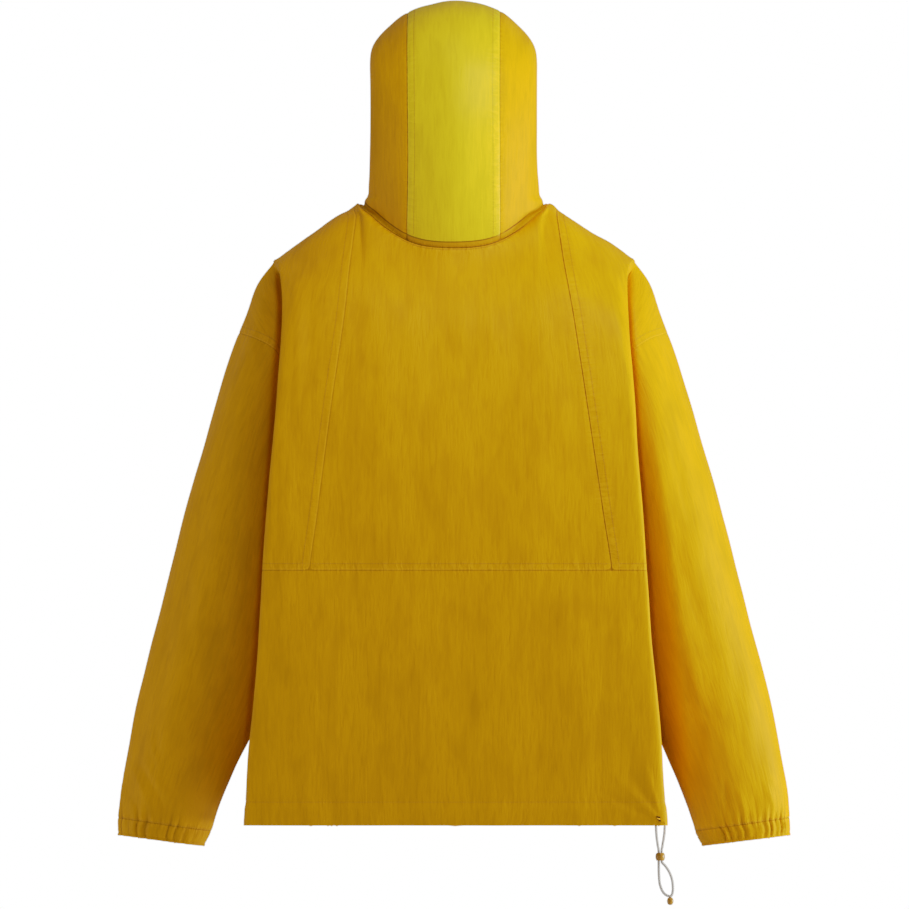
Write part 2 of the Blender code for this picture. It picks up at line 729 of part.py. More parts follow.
def panel_mesh(cloth, normals, panel, shared):
    """Closed wall of one panel: outer and inner faces, and a rim along its open edges. Rims of two panels at a seam split the same way."""
    faces = [f for f, p in zip(cloth.faces, cloth.panels) if p == panel]
    moved, ends = drawn_back(cloth, normals, faces, shared)
    used = sorted({c for face in faces for c in face})
    place = {c: k for k, c in enumerate(used)}
    outer, inner = [], []
    for c in used:
        point = moved.get(c, cloth.points[c])
        outer.append(point + normals[c] * (WALL / 2 + cloth.bulge[c]))
        inner.append(point - normals[c] * WALL / 2)
    count = len(used)
    made = [tuple(place[c] for c in face) for face in faces]
    made += [tuple(place[c] + count for c in reversed(face)) for face in faces]
    for a, b in ends:
        if (b, a) not in ends:
            rim = [place[b], place[a], place[a] + count, place[b] + count]
            made.append(tuple(rim if b < a else rim[1:] + rim[:1]))
    return outer + inner, made


def shared_edges(cloth):
    """Edges at which two panels meet."""
    owners = {}
    for face, panel in zip(cloth.faces, cloth.panels):
        for a, b in zip(face, face[1:] + face[:1]):
            owners.setdefault(frozenset((a, b)), set()).add(panel)
    return {edge for edge, names in owners.items() if len(names) > 1}


def turned_grid(grid, side):
    return np.asarray(grid) * np.array([side, 1, 1])


def lay_out_cloth():
    cloth = Cloth()
    names = {1: "left", -1: "right"}
    for side, name in names.items():
        def back_panel(row, column):
            if row < LEVEL_SEAM_ROW:
                return "back_lower"
            return "back_centre" if column < SEAM_COLUMN else f"back_side_{name}"

        def hem_bulge(row):
            return HEM_BULGE * HEM_ROWS.get(row, 0.0)

        cloth.add_grid(turned_grid(body_grid(1, side), side), back_panel, side > 0, hem_bulge)
        cloth.add_grid(turned_grid(body_grid(-1, side), side), lambda r, c: "front", side < 0, hem_bulge)
        cloth.add_grid(
            turned_grid(hood_grid(side), side),
            lambda r, c: "hood_centre" if c < HOOD_CENTRE_STEPS else f"hood_side_{name}",
            side > 0,
        )
        rings = [turned_grid(ring, side) for ring in sleeve_rings()]
        cloth.add_rings(rings, f"sleeve_{name}", side < 0)
        rings = [turned_grid(ring, side) for ring in cuff_rings()]
        cloth.add_rings(rings, f"cuff_{name}", side < 0)
    return cloth


# ================================================================ objects
def material(name, finish):
    made = bpy.data.materials.new(name)
    made.use_nodes = True
    shader = made.node_tree.nodes["Principled BSDF"]
    shader.inputs["Base Color"].default_value = finish["colour"]
    shader.inputs["Roughness"].default_value = finish["roughness"]
    shader.inputs["Metallic"].default_value = 0.0
    return made


def add_object(name, points, faces, finish):
    mesh = bpy.data.meshes.new(name)
    mesh.from_pydata([tuple(p) for p in points], [], faces)
    mesh.materials.append(finish)
    mesh.shade_smooth()
    mesh.set_sharp_from_angle(angle=math.radians(SHARP_ANGLE))
    made = bpy.data.objects.new(name, mesh)
    bpy.context.scene.collection.objects.link(made)
    return made


def add_panels():
    cloth = lay_out_cloth()
    normals = cloth.normals()
    shared = shared_edges(cloth)
    main = material("nylon", CLOTH)
    bright = material("nylon_centre", CENTRE_CLOTH)
    for panel in sorted(set(cloth.panels)):
        points, faces = panel_mesh(cloth, normals, panel, shared)
        add_object(panel, points, faces, bright if panel == "hood_centre" else main)


def add_turned(name, centre, profile, finish, closed_ends):
    """A round piece about an upright axis, from (radius, height) pairs. They run down its wall, or right round it where it has a hole."""
    shape = bmesh.new()
    rings = []
    for radius, height in profile:
        turns = [2 * math.pi * k / ROUND_STEPS for k in range(ROUND_STEPS)]
        rings.append([shape.verts.new((radius * math.cos(t), radius * math.sin(t), height)) for t in turns])
    pairs = list(zip(rings, rings[1:])) + ([] if closed_ends else [(rings[-1], rings[0])])
    for upper, lower in pairs:
        for k in range(ROUND_STEPS):
            j = (k + 1) % ROUND_STEPS
            shape.faces.new((upper[k], lower[k], lower[j], upper[j]))
    if closed_ends:
        shape.faces.new(rings[0])
        shape.faces.new(reversed(rings[-1]))
    mesh = bpy.data.meshes.new(name)
    shape.to_mesh(mesh)
    shape.free()
    mesh.materials.append(finish)
    mesh.shade_smooth()
    mesh.set_sharp_from_angle(angle=math.radians(SHARP_ANGLE))
    made = bpy.data.objects.new(name, mesh)
    made.location = centre
    bpy.context.scene.collection.objects.link(made)


def add_cord():
    route = np.array(CORD_ROUTE)
    run = np.linalg.norm(np.diff(route, axis=0), axis=1).sum()
    line = smooth(lengths(route), route, np.linspace(0, 1, int(run / CORD_STEP) + 1))
    curve = bpy.data.curves.new("hem_cord", "CURVE")
    curve.dimensions = "3D"
    spline = curve.splines.new("POLY")
    spline.points.add(len(line) - 1)
    for point, place in zip(spline.points, line):
        point.co = (*place, 1.0)
    curve.bevel_depth = CORD_DIAMETER / 2
    curve.bevel_resolution = CORD_SIDES_RESOLUTION
    curve.use_fill_caps = True
    curve.materials.append(material("cord", CORD_FINISH))
    bpy.context.scene.collection.objects.link(bpy.data.objects.new("hem_cord", curve))


def round_wall(radius, half_height, angle):
    """(radius, height) pairs down an oval wall that is cut flat at this angle above and below."""
    turns = [math.radians(a) for a in np.linspace(angle, -angle, 5)]
    return [(radius * math.cos(turn), half_height * math.sin(turn)) for turn in turns]


def add_beads():
    finish = material("bead", BEAD_FINISH)
    wall = round_wall(STOPPER_RADIUS, STOPPER_HALF_HEIGHT, STOPPER_WALL_ANGLE)
    low, high = wall[-1][1], wall[0][1]
    wall += [(STOPPER_HOLE_RADIUS, low), (STOPPER_HOLE_RADIUS, high)]
    add_turned("cord_stopper", STOPPER_CENTRE, wall, finish, closed_ends=False)
    wall = round_wall(CORD_END_RADIUS, CORD_END_HALF_HEIGHT, CORD_END_WALL_ANGLE)
    add_turned("cord_end", CORD_END_CENTRE, wall, finish, closed_ends=True)


def main():
    for old in list(bpy.data.objects):
        bpy.data.objects.remove(old)
    add_panels()
    add_cord()
    add_beads()


if __name__ == "__main__":
    main()
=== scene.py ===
import math

import bmesh
import bpy
import numpy as np
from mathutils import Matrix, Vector, kdtree, noise


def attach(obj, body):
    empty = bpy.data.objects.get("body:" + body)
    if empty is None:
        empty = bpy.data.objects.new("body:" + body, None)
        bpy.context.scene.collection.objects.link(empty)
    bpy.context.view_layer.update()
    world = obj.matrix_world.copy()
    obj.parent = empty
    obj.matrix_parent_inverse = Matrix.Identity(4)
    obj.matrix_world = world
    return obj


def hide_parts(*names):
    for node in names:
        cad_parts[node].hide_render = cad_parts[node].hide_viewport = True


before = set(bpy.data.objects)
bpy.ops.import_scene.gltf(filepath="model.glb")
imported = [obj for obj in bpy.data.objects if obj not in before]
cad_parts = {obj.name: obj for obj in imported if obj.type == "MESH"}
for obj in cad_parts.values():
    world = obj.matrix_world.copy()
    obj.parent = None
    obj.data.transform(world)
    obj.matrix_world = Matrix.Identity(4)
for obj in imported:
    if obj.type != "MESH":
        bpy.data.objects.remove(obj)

bl_info = {
    "name": "Anorak pullover",
    "version": (1, 0, 0),
    "blender": (4, 5, 0),
    "location": "3D View > Sidebar > Anorak",
    "description": "Dresses the anorak pullover: cloth panels, gathers, stitching, hem cord and beads",
    "category": "Object",
}

# ================================================================ sizes shared with the solids (m)
NECK_HALF_WIDTH = 0.111
NECK_SIDE_Y = -0.008
NECK_SIDE_Z = 0.0040
NECK_BACK_Y = 0.075
NECK_BACK_Z = -0.050
NECK_FRONT_Y = -0.088
NECK_FRONT_Z = -0.084
NECK_BACK_POWER = 2.6
NECK_FRONT_POWER = 2.2
SHOULDER_ROUNDING = 0.105
ROUNDNESS_MIDDLE = 0.80
ROUNDNESS_SHOULDER = 0.50
# The ridge of the shoulder from the side of the neck, past the fold of the back, to the armhole.
RIDGE = [
    # x, y, z
    (0.1110, -0.008, 0.0015),
    (0.1290, -0.007, -0.0050),
    (0.1500, -0.006, -0.0190),
    (0.1740, -0.005, -0.0350),
    (0.2040, -0.005, -0.0532),
    (0.2150, -0.005, -0.0605),
    (0.2235, -0.005, -0.0690),
    (0.2310, -0.006, -0.0800),
    (0.2385, -0.006, -0.0985),
    (0.2480, -0.006, -0.1260),
    (0.2590, -0.006, -0.1520),
]
FOLD_TOP_X = 0.2145
CREASE_TOP_X = 0.2195
# Level sections of the body. The back and the front each end at a fold beside the arm.
BODY = [
    # z, fold_x, fold_back_y, fold_front_y, back_y, front_y, side_x, side_y
    (-0.743, 0.2528, 0.117, -0.050, 0.125, -0.132, 0.2460, -0.004),
    (-0.697, 0.2500, 0.120, -0.062, 0.128, -0.132, 0.2330, -0.010),
    (-0.650, 0.2475, 0.122, -0.070, 0.130, -0.131, 0.2200, -0.014),
    (-0.593, 0.2425, 0.124, -0.076, 0.132, -0.131, 0.2040, -0.017),
    (-0.521, 0.2360, 0.125, -0.081, 0.133, -0.130, 0.1900, -0.018),
    (-0.437, 0.2300, 0.125, -0.082, 0.133, -0.129, 0.1830, -0.016),
    (-0.353, 0.2235, 0.124, -0.082, 0.132, -0.127, 0.1780, -0.013),
    (-0.300, 0.2190, 0.123, -0.081, 0.131, -0.125, 0.1760, -0.010),
    (-0.244, 0.2155, 0.120, -0.079, 0.129, -0.121, 0.1760, -0.010),
    (-0.208, 0.2130, 0.116, -0.077, 0.126, -0.117, 0.1760, -0.010),
    (-0.152, 0.2085, 0.107, -0.075, 0.119, -0.107, 0.1760, -0.010),
    (-0.115, 0.2070, 0.097, -0.073, 0.108, -0.097, 0.1760, -0.010),
    (-0.084, 0.2085, 0.085, -0.071, 0.094, -0.088, 0.1760, -0.010),
    (-0.050, 0.2145, 0.070, -0.070, 0.075, -0.078, 0.1760, -0.010),
]
SECTION_POWERS = {1: 4.0, -1: 2.6}
FRONT_FOLD_INSET = 0.003
FRONT_INSET_TOP_Z = -0.10
FRONT_INSET_FADE = 0.08
FOLD_TURN_IN = 0.72
FOLD_TURN_BACK = 0.16
GROOVE_TURN = 0.62
STRIP_FADE_ROWS = 0.20
CAP_WAY_OUT = 0.80
CAP_WAY_BACK = 0.42
CAP_WAY_DOWN = 0.15
CAP_WAY_DOWN_TOP = 0.45
SEAM_LIMIT = 0.97
# The bottom of the crease between body and arm, above the underarm.
CREASE = [
    # z, x, back_y, front_y
    (-0.300, 0.1760, -0.010, -0.010),
    (-0.262, 0.1770, 0.014, -0.034),
    (-0.215, 0.1825, 0.034, -0.048),
    (-0.170, 0.1870, 0.044, -0.052),
    (-0.128, 0.1930, 0.044, -0.048),
    (-0.095, 0.2030, 0.028, -0.030),
    (-0.0680, 0.2195, -0.0050, -0.0050),
]
UNDERARM_Z = -0.300
# The armhole seam, from the underarm (at 0) up to the shoulder ridge (at 1).
ARMHOLE = [
    # along, x, back_y, front_y, z
    (0.00, 0.1760, -0.010, -0.010, -0.300),
    (0.10, 0.1870, 0.006, -0.027, -0.291),
    (0.22, 0.1950, 0.025, -0.049, -0.268),
    (0.36, 0.1980, 0.043, -0.063, -0.233),
    (0.50, 0.2050, 0.053, -0.069, -0.202),
    (0.66, 0.2150, 0.057, -0.068, -0.174),
    (0.83, 0.2400, 0.040, -0.048, -0.158),
    (1.00, 0.2590, -0.006, -0.006, -0.152),
]
BACK_SEAM_TOP_X = {1: 0.1150, -1: 0.1230}
BACK_SEAM_LOW_X = {1: 0.1740, -1: 0.1880}
BACK_SEAM_TOP_Z = -0.002
LEVEL_SEAM_Z = -0.437
SLEEVE_OUTER = [
    # x, z
    (0.2590, -0.152),
    (0.2695, -0.185),
    (0.2845, -0.232),
    (0.3020, -0.293),
    (0.3192, -0.353),
    (0.3352, -0.413),
    (0.3508, -0.473),
    (0.3650, -0.533),
    (0.3795, -0.593),
    (0.3915, -0.653),
    (0.3985, -0.690),
    (0.4025, -0.715),
    (0.4038, -0.737),
]
SLEEVE_INNER = [
    # x, z
    (0.1760, -0.300),
    (0.1845, -0.322),
    (0.1900, -0.353),
    (0.1985, -0.437),
    (0.2080, -0.521),
    (0.2275, -0.596),
    (0.2505, -0.648),
    (0.2690, -0.690),
    (0.2840, -0.727),
    (0.2925, -0.752),
]
SLEEVE_DEPTH = [
    # along, half_depth, centre_y
    (0.00, 0.064, -0.006),
    (0.15, 0.070, -0.008),
    (0.35, 0.067, -0.011),
    (0.60, 0.058, -0.020),
    (0.80, 0.050, -0.032),
    (0.93, 0.042, -0.042),
    (1.00, 0.036, -0.047),
]
ARMHOLE_FADE = 0.34
CUFF_END_OUTER = (0.4043, -0.757)
CUFF_END_INNER = (0.3010, -0.770)
CUFF_END_HALF_DEPTH = 0.034
CUFF_END_Y = -0.049
CUFF_GATHERS = {1: 26, -1: 36}
CUFF_PLAIN_X = 0.313
HOOD_HALF_WIDTH = 0.1035
HOOD_CENTRE_HALF_WIDTH = 0.056
HOOD_ROUNDING = 0.060
HOOD_POWER = 1.65
HOOD_NECK_BLEND = 0.34
HOOD_BROW_START = 0.70
HOOD_EDGE_LAG = 0.36
HOOD_SIDE_TURN = 0.42
HOOD_FAN = 0.35
HOOD_THROAT = 0.075
RELAX_PASSES = 3
# The middle line of the hood, from the back of the neck over the crown to the brow.
HOOD_LINE = [
    # y, z
    (0.075, -0.050),
    (0.089, 0.000),
    (0.101, 0.055),
    (0.107, 0.110),
    (0.102, 0.163),
    (0.083, 0.207),
    (0.050, 0.235),
    (0.010, 0.2455),
    (-0.035, 0.244),
    (-0.075, 0.235),
    (-0.108, 0.221),
]
# The edge of the face opening, from the front of the neck up to the centre panel at the brow.
HOOD_EDGE = [
    # x, y, z
    (0.0000, -0.088, -0.084),
    (0.0360, -0.099, -0.056),
    (0.0630, -0.107, -0.010),
    (0.0790, -0.112, 0.045),
    (0.0850, -0.115, 0.100),
    (0.0830, -0.114, 0.150),
    (0.0730, -0.110, 0.188),
    (0.0560, -0.1063, 0.2048),
]
HOOD_RIBS = 17
CORD_DIAMETER = 0.0028
# The loop of elastic cord, from the hem down through the stopper, round its tip and back up.
CORD_ROUTE = [
    # x, y, z
    (-0.2432, 0.0800, -0.7440),
    (-0.2436, 0.0765, -0.7530),
    (-0.2452, 0.0670, -0.7660),
    (-0.2467, 0.0600, -0.7765),
    (-0.2466, 0.0600, -0.7870),
    (-0.2467, 0.0600, -0.7980),
    (-0.2474, 0.0600, -0.8110),
    (-0.2506, 0.0600, -0.8220),
    (-0.2568, 0.0600, -0.8283),
    (-0.2602, 0.0600, -0.8291),
    (-0.2626, 0.0600, -0.8270),
    (-0.2638, 0.0600, -0.8200),
    (-0.2630, 0.0600, -0.8110),
    (-0.2598, 0.0600, -0.8010),
    (-0.2548, 0.0600, -0.7930),
    (-0.2502, 0.0600, -0.7870),
    (-0.2501, 0.0600, -0.7765),
    (-0.2516, 0.0560, -0.7660),
    (-0.2536, 0.0480, -0.7530),
    (-0.2542, 0.0440, -0.7440),
]
STOPPER_CENTRE = (-0.2484, 0.060, -0.7815)
STOPPER_RADIUS = 0.0056
STOPPER_HALF_HEIGHT = 0.0066
STOPPER_HOLE_RADIUS = 0.0036
CORD_END_CENTRE = (-0.2604, 0.060, -0.8348)
CORD_END_RADIUS = 0.0038
CORD_END_HALF_HEIGHT = 0.0047

# ================================================================ grid the cloth is laid out on
HEM_TOP_Z = -0.7145
# The bound slit in the hem casing that the cord leaves by.
SLIT = [
    # name, half width, lift off the cloth, finish, route (x, z)
    ("slit_mouth", 0.0008, 0.0008, "shadow",
     [(-0.2430, -0.7322), (-0.2452, -0.7330), (-0.2474, -0.7336), (-0.2490, -0.7346)]),
    ("slit_edge", 0.0009, 0.0024, "binding",
     [(-0.2436, -0.7340), (-0.2470, -0.7354), (-0.2504, -0.7372), (-0.2534, -0.7390)]),
    ("slit_under", 0.0009, 0.0020, "shadow",
     [(-0.2450, -0.7360), (-0.2480, -0.7375), (-0.2508, -0.7391), (-0.2532, -0.7403)]),
]
LOW_ROWS = [
    -0.743, -0.731, HEM_TOP_Z, -0.682, -0.644, -0.604, -0.563, -0.521, -0.479, -0.437, -0.392, -0.346, -0.300,
]
LEVEL_SEAM_ROW = LOW_ROWS.index(LEVEL_SEAM_Z)
UPPER_ROWS = 12
ROW_CROWDING = 1.5
NECK_ANGLES = [0.0, 15.1, 30.29, 50.0, 70.0, 90.0]
NECK_SIDE_COLUMN = len(NECK_ANGLES) - 1
SIDE_PANEL_STEPS = 4
STRIP_STEPS = 4
CAP_STEPS = 3
SEAM_COLUMN = NECK_SIDE_COLUMN + 1
FOLD_COLUMN = SEAM_COLUMN + SIDE_PANEL_STEPS
RING = 2 * UPPER_ROWS
RING_TURNS = [2 * math.pi * k / RING for k in range(RING)]
SLEEVE_ROWS = [
    0.0, 0.045, 0.09, 0.14, 0.19, 0.245, 0.30, 0.355, 0.41, 0.465,
    0.52, 0.575, 0.63, 0.685, 0.74, 0.795, 0.85, 0.90, 0.95, 1.0,
]
CUFF_ROWS = [0.0, 0.5, 1.0]
HOOD_CENTRE_STEPS = 2
HOOD_ROUND_STEPS = 4
HOOD_FLAT_STEPS = 4
SUBDIVISIONS = 3
FIT_PASSES = 3
FIT_LIMIT = 0.004
FIT_SHARE_AT_FOLD_TOP = 0.35
FOLD_TOP_SPAN = (0.006, 0.026)
EDGE_ANGLE = 55.0
SAMPLE_STEP = 0.0006
FAR_FROM_NECK = 3.0

# ================================================================ finishes and stage
CLOTHS = {
    # cloth: name of its finish, roughness, shine, share of the crinkles' depth
    "nylon": ("washed_nylon", 0.50, 0.05, 1.0),
    "centre": ("washed_nylon_strip", 0.44, 0.10, 0.6),
}
LAMPS = [
    # name, place, aimed at, share of the key's power, size
    ("key_light", (-0.45, 0.75, 0.35), (0, 0, -0.3), 1.0, 0.4),
    ("top_light", (0.0, 0.9, 1.1), (0, 0, -0.3), 0.3, 0.5),
    ("side_light", (-2.4, 0.1, -0.7), (0, 0, -0.5), 10.2, 1.0),
    ("far_light", (2.4, 0.25, -0.9), (0, 0, -0.6), 1.5, 1.0),
]
# How the film answers to light: a quick rise and a soft shoulder.
FILM = [
    (0, 0), (0.12, 0.19), (0.24, 0.37), (0.36, 0.5), (0.48, 0.585),
    (0.6, 0.655), (0.75, 0.76), (0.9, 0.895), (1, 1),
]

# ================================================================ forms of the soft cloth
# A pair is where something sets in and where it is whole.
# The slot between the body and the arm, pressed in beside the fold of the back.
SLOT_WIDTH = 0.0075
SLOT_DEPTH = 0.014
SLOT_FACING = (0.0, 0.5)
SLOT_DEEP = (0.004, 0.024)
SLOT_TOP = (-0.064, -0.099)
SLOT_FOOT = (-0.720, -0.670)
SLOT_REACH_IN = 0.04
# The arm slopes down to the slot, more so at the wearer's right.
SLOPE_WIDTH = 0.036
SLOPE_DEPTH = {1: 0.001, -1: 0.013}
SLOPE_TOP = (-0.250, -0.550)
SLOPE_FOOT = (-0.750, -0.630)
# Painted shade: the cloth's colour is darkened down in that slope, where the fold of the back shades it.
HOLLOW_SHADE = {1: 0.0, -1: 0.85}
HOLLOW_SIDE = (0.003, 0.033)
HOLLOW_DEEP = (0.003, 0.013)
HOLLOW_FACING = (-0.3, 0.3)
HOLLOW_TOP = (-0.160, -0.360)
HOLLOW_FOOT = (-0.770, -0.720)
# The body leans this far to the wearer's right.
LEAN = 0.0018
LEAN_TOP = (-0.06, -0.14)
LEAN_SIDE = (0.002, 0.032)
# The hood is upright above the neck, flares out to the neck seam, and its corner there is soft.
HOOD_WAIST = 0.1020
HOOD_FLARE_TOP = 0.0145
FLARE_OUT = 0.0032
FLARE_INNER = (0.085, 0.100)
FLARE_OUTER = (0.130, 0.114)
FLARE_TOP = (0.0130, 0.0065)
FLARE_FOOT = (-0.0120, -0.0030)
CORNER_REACH = 0.014
CORNER_PASSES = 30
CORNER_LIFT = 0.0034
CROWN_LIFT = 0.0040
CROWN_SPAN = (0.195, 0.240)
TOP_SOFTENING = (-0.030, -0.015, 0.0, 0.015, 0.030)
TOP_SOFTENING_DEPTH = 0.05
FOLD_SHARPNESS = 0.55
# A seam is pressed in, and draws the cloth beside it up in puckers.
PRESS_WIDTH = 0.0022
PUCKER_PITCH = 0.0085
PUCKER_START = 0.0012
PUCKER_REACH = 0.0075
RUN_APART = 7.0
# The stitch row of a free edge does so too.
EDGE_PRESS = 0.0004
EDGE_PULL = 0.45
# Painted shade: how dark the pressed stitch row of a free edge is drawn.
EDGE_DARK = 0.12
EDGE_PITCH = 0.0095
EDGE_REACH = 0.008
# The soft unevenness of the cloth is less near the neck and the cuffs.
DRAPE = [
    # size of its bumps, share of the depth, seed
    ((0.060, 0.090, 0.170), 1.0, 3.1),
    ((0.022, 0.040, 0.075), 0.35, 11.7),
]
CALM_REACH = 0.03
CALM_SHARE = 0.35
# Gathers: how far above the cuff they reach, and the longer folds over them.
GATHER_TOP_Z = -0.60
GATHER_REACH = 0.011
PLAIN_SHARE = 0.15
LONG_FOLD_REACH = 0.025
LONG_FOLD_START = 0.012

PANELS = [
    "back_centre", "back_side_left", "back_side_right", "back_lower", "front",
    "hood_centre", "hood_side_left", "hood_side_right",
    "sleeve_left", "sleeve_right", "cuff_left", "cuff_right",
]
SIDE_NAMES = {1: "left", -1: "right"}

# ================================================================ sewing
# Which panels meet at a seam, on which of them its stitch rows lie and how far from it, how hard it
# draws the cloth up, how deep it is pressed in, and how dark its line and the painted shade along its stitch
# rows are.
SEAMS = [
    # name, panels, other panels, stitched side, rows, pull, press, darkness
    ("strip_left", "hood_centre", "hood_side_left", "hood_centre", (0.0095,), 0.60, 0.0006, 0.80),
    ("strip_right", "hood_centre", "hood_side_right", "hood_centre", (0.0095,), 0.75, 0.0004, 0.50),
    ("neck", "hood", "back|front", "back|front", (0.0022,), 1.00, 0.0008, 0.90),
    ("taper_left", "back_centre", "back_side_left", "back_side", (0.0095,), 0.35, 0.0002, 0.35),
    ("taper_right", "back_centre", "back_side_right", "back_side", (0.0095,), 0.65, 0.0005, 0.80),
    ("level", "back_lower", "back_centre|back_side", "back_centre|back_side", (0.0080,), 0.75, 0.0001, 0.50),
    ("armhole_left", "sleeve_left", "back|front", "back|front", (0.0020, 0.0085), 0.70, 0.0004, 0.35),
    ("armhole_right", "sleeve_right", "back|front", "back|front", (0.0020, 0.0085), 0.50, 0.0002, 0.12),
    ("shoulder", "back_side|back_centre", "front", "", (), 0.25, 0.0003, 0.60),
    ("side", "back", "front", "", (), 0.25, 0.0004, 0.80),
    ("cuff", "sleeve", "cuff", "sleeve", (0.0016,), 1.00, 0.0004, 0.45),
]
# The neck seam's line and its puckers die away towards this side of the back.
NECK_FADE = (-0.078, 0.020, 0.85)
# The hood's lower edge is bound with a tape this high.
NECK_TAPE = 0.0075
# Free edges that are turned and stitched.
EDGES = [
    # name, panels, stitch row, extra half thickness at the edge
    ("hem", "back_lower|front", 0.0280, 0.0009),
    ("face", "hood", 0.0150, 0.0006),
    ("wrist", "cuff", 0.0030, 0.0008),
]
PULL_REACH = 0.030

# Soft troughs (below 0) and ridges of the cloth, each a line between two places seen square on.
CREASES = [
    # panels, face, x0, z0, x1, z1, half width, depth
    ("sleeve_right", 1, -0.242, -0.281, -0.262, -0.425, 0.0095, 0.0019),
    ("sleeve_right", 1, -0.260, -0.415, -0.296, -0.617, 0.0120, 0.0020),
    ("sleeve_right", 1, -0.257, -0.262, -0.284, -0.377, 0.0080, -0.0014),
    ("sleeve_right", 1, -0.276, -0.430, -0.318, -0.560, 0.0090, -0.0010),
    ("sleeve_right", 1, -0.296, -0.300, -0.318, -0.372, 0.0070, 0.0008),
    ("sleeve_right", 1, -0.282, -0.560, -0.300, -0.665, 0.0100, -0.0014),
    ("sleeve_right", 1, -0.3440, -0.7020, -0.3520, -0.7340, 0.0040, 0.0010),
    ("sleeve_right", 1, -0.3620, -0.7060, -0.3650, -0.7340, 0.0036, -0.0008),
    ("sleeve_right", 1, -0.3760, -0.6960, -0.3880, -0.7300, 0.0042, 0.0012),
    ("sleeve_right", 1, -0.3260, -0.6900, -0.3300, -0.7300, 0.0035, -0.0010),
    ("sleeve_left", 1, 0.3640, -0.6460, 0.3545, -0.6720, 0.0035, 0.0010),
    ("sleeve_left", 1, 0.3800, -0.6650, 0.3470, -0.7260, 0.0045, -0.0017),
    ("sleeve_left", 1, 0.3910, -0.6680, 0.3640, -0.7260, 0.0045, 0.0017),
    ("sleeve_left", 1, 0.3980, -0.6900, 0.3790, -0.7300, 0.0040, -0.0015),
    ("sleeve_left", 1, 0.3680, -0.6800, 0.3350, -0.7200, 0.0050, 0.0009),
    ("sleeve_left", 1, 0.3560, -0.6300, 0.3620, -0.6900, 0.0060, -0.0008),
    ("sleeve_left", 1, 0.2440, -0.1590, 0.2370, -0.1860, 0.0030, 0.0010),
    ("sleeve_left", 1, 0.2300, -0.1600, 0.2240, -0.1800, 0.0030, -0.0009),
    ("sleeve_left", 1, 0.2560, -0.1620, 0.2530, -0.1950, 0.0035, -0.0007),
    ("sleeve_left", 1, 0.2860, -0.4200, 0.3220, -0.5600, 0.0140, 0.0010),
    ("sleeve_left", 1, 0.3130, -0.3300, 0.3040, -0.4500, 0.0110, -0.0008),
    ("back", 1, 0.1900, -0.0800, 0.1860, -0.2600, 0.0070, 0.0010),
    ("back", 1, 0.1720, -0.0900, 0.1730, -0.2200, 0.0060, -0.0009),
    ("back", 1, 0.1930, -0.3000, 0.2010, -0.4100, 0.0080, 0.0007),
    ("back", 1, 0.0200, -0.5200, 0.0160, -0.6400, 0.0060, -0.0008),
    ("back", 1, 0.0310, -0.5350, 0.0280, -0.6100, 0.0050, 0.0005),
    ("back", 1, 0.0700, -0.0750, 0.0560, -0.1300, 0.0090, -0.0007),
    ("back", 1, -0.0450, -0.0700, -0.0520, -0.1500, 0.0100, -0.0006),
    ("back", 1, -0.1250, -0.0300, -0.1560, -0.0700, 0.0080, 0.0008),
    ("back", 1, 0.1500, -0.0450, 0.1850, -0.0800, 0.0080, -0.0008),
    ("back_lower", 1, -0.1880, -0.6790, -0.2420, -0.7310, 0.0050, 0.0010),
    ("back_lower", 1, -0.2090, -0.6770, -0.2430, -0.7270, 0.0042, -0.0010),
    ("back_lower", 1, -0.2300, -0.6710, -0.2450, -0.7230, 0.0042, 0.0009),
    ("back_lower", 1, -0.1760, -0.7010, -0.2360, -0.7350, 0.0045, -0.0009),
    ("back_lower", 1, -0.0900, -0.6600, -0.0980, -0.7120, 0.0050, 0.0005),
    ("back_lower", 1, 0.0900, -0.5000, 0.0860, -0.5900, 0.0070, -0.0005),
    ("back_lower", 1, 0.2050, -0.6500, 0.2240, -0.7150, 0.0060, -0.0006),
    ("front", -1, 0.0900, -0.1100, 0.0620, -0.2400, 0.0110, -0.0014),
    ("front", -1, -0.0820, -0.1200, -0.0640, -0.2100, 0.0100, 0.0011),
    ("front", -1, 0.1830, -0.1000, 0.1700, -0.2900, 0.0110, 0.0013),
    ("front", -1, -0.1780, -0.1100, -0.1620, -0.2600, 0.0100, -0.0014),
    ("front", -1, 0.1500, -0.3600, 0.1900, -0.5200, 0.0120, -0.0012),
    ("front", -1, -0.1600, -0.4000, -0.1980, -0.5400, 0.0110, 0.0012),
    ("front", -1, 0.0300, -0.5600, 0.0190, -0.6900, 0.0080, 0.0009),
    ("front", -1, -0.1900, -0.6850, -0.2400, -0.7300, 0.0060, -0.0014),
    ("front", -1, 0.2000, -0.6600, 0.2300, -0.7250, 0.0070, 0.0010),
    ("sleeve_left", -1, 0.2550, -0.2400, 0.2900, -0.3300, 0.0110, 0.0018),
    ("sleeve_left", -1, 0.2760, -0.3500, 0.3200, -0.4000, 0.0080, -0.0016),
    ("sleeve_left", -1, 0.2900, -0.4300, 0.3380, -0.4600, 0.0070, 0.0014),
    ("sleeve_left", -1, 0.3300, -0.6000, 0.3650, -0.6900, 0.0080, -0.0013),
    ("sleeve_right", -1, -0.2500, -0.2300, -0.2780, -0.3200, 0.0100, -0.0016),
    ("sleeve_right", -1, -0.2700, -0.3600, -0.3200, -0.4100, 0.0080, 0.0017),
    ("sleeve_right", -1, -0.2950, -0.4400, -0.3400, -0.4800, 0.0070, -0.0014),
    ("sleeve_right", -1, -0.3250, -0.6100, -0.3600, -0.6900, 0.0080, 0.0012),
    ("hood_side_left", 1, 0.0800, 0.1500, 0.0840, 0.0400, 0.0110, -0.0007),
    ("hood_side_right", 1, -0.0780, 0.1300, -0.0850, 0.0200, 0.0110, 0.0007),
]

# ================================================================ working store of the quilt
WORK = {}


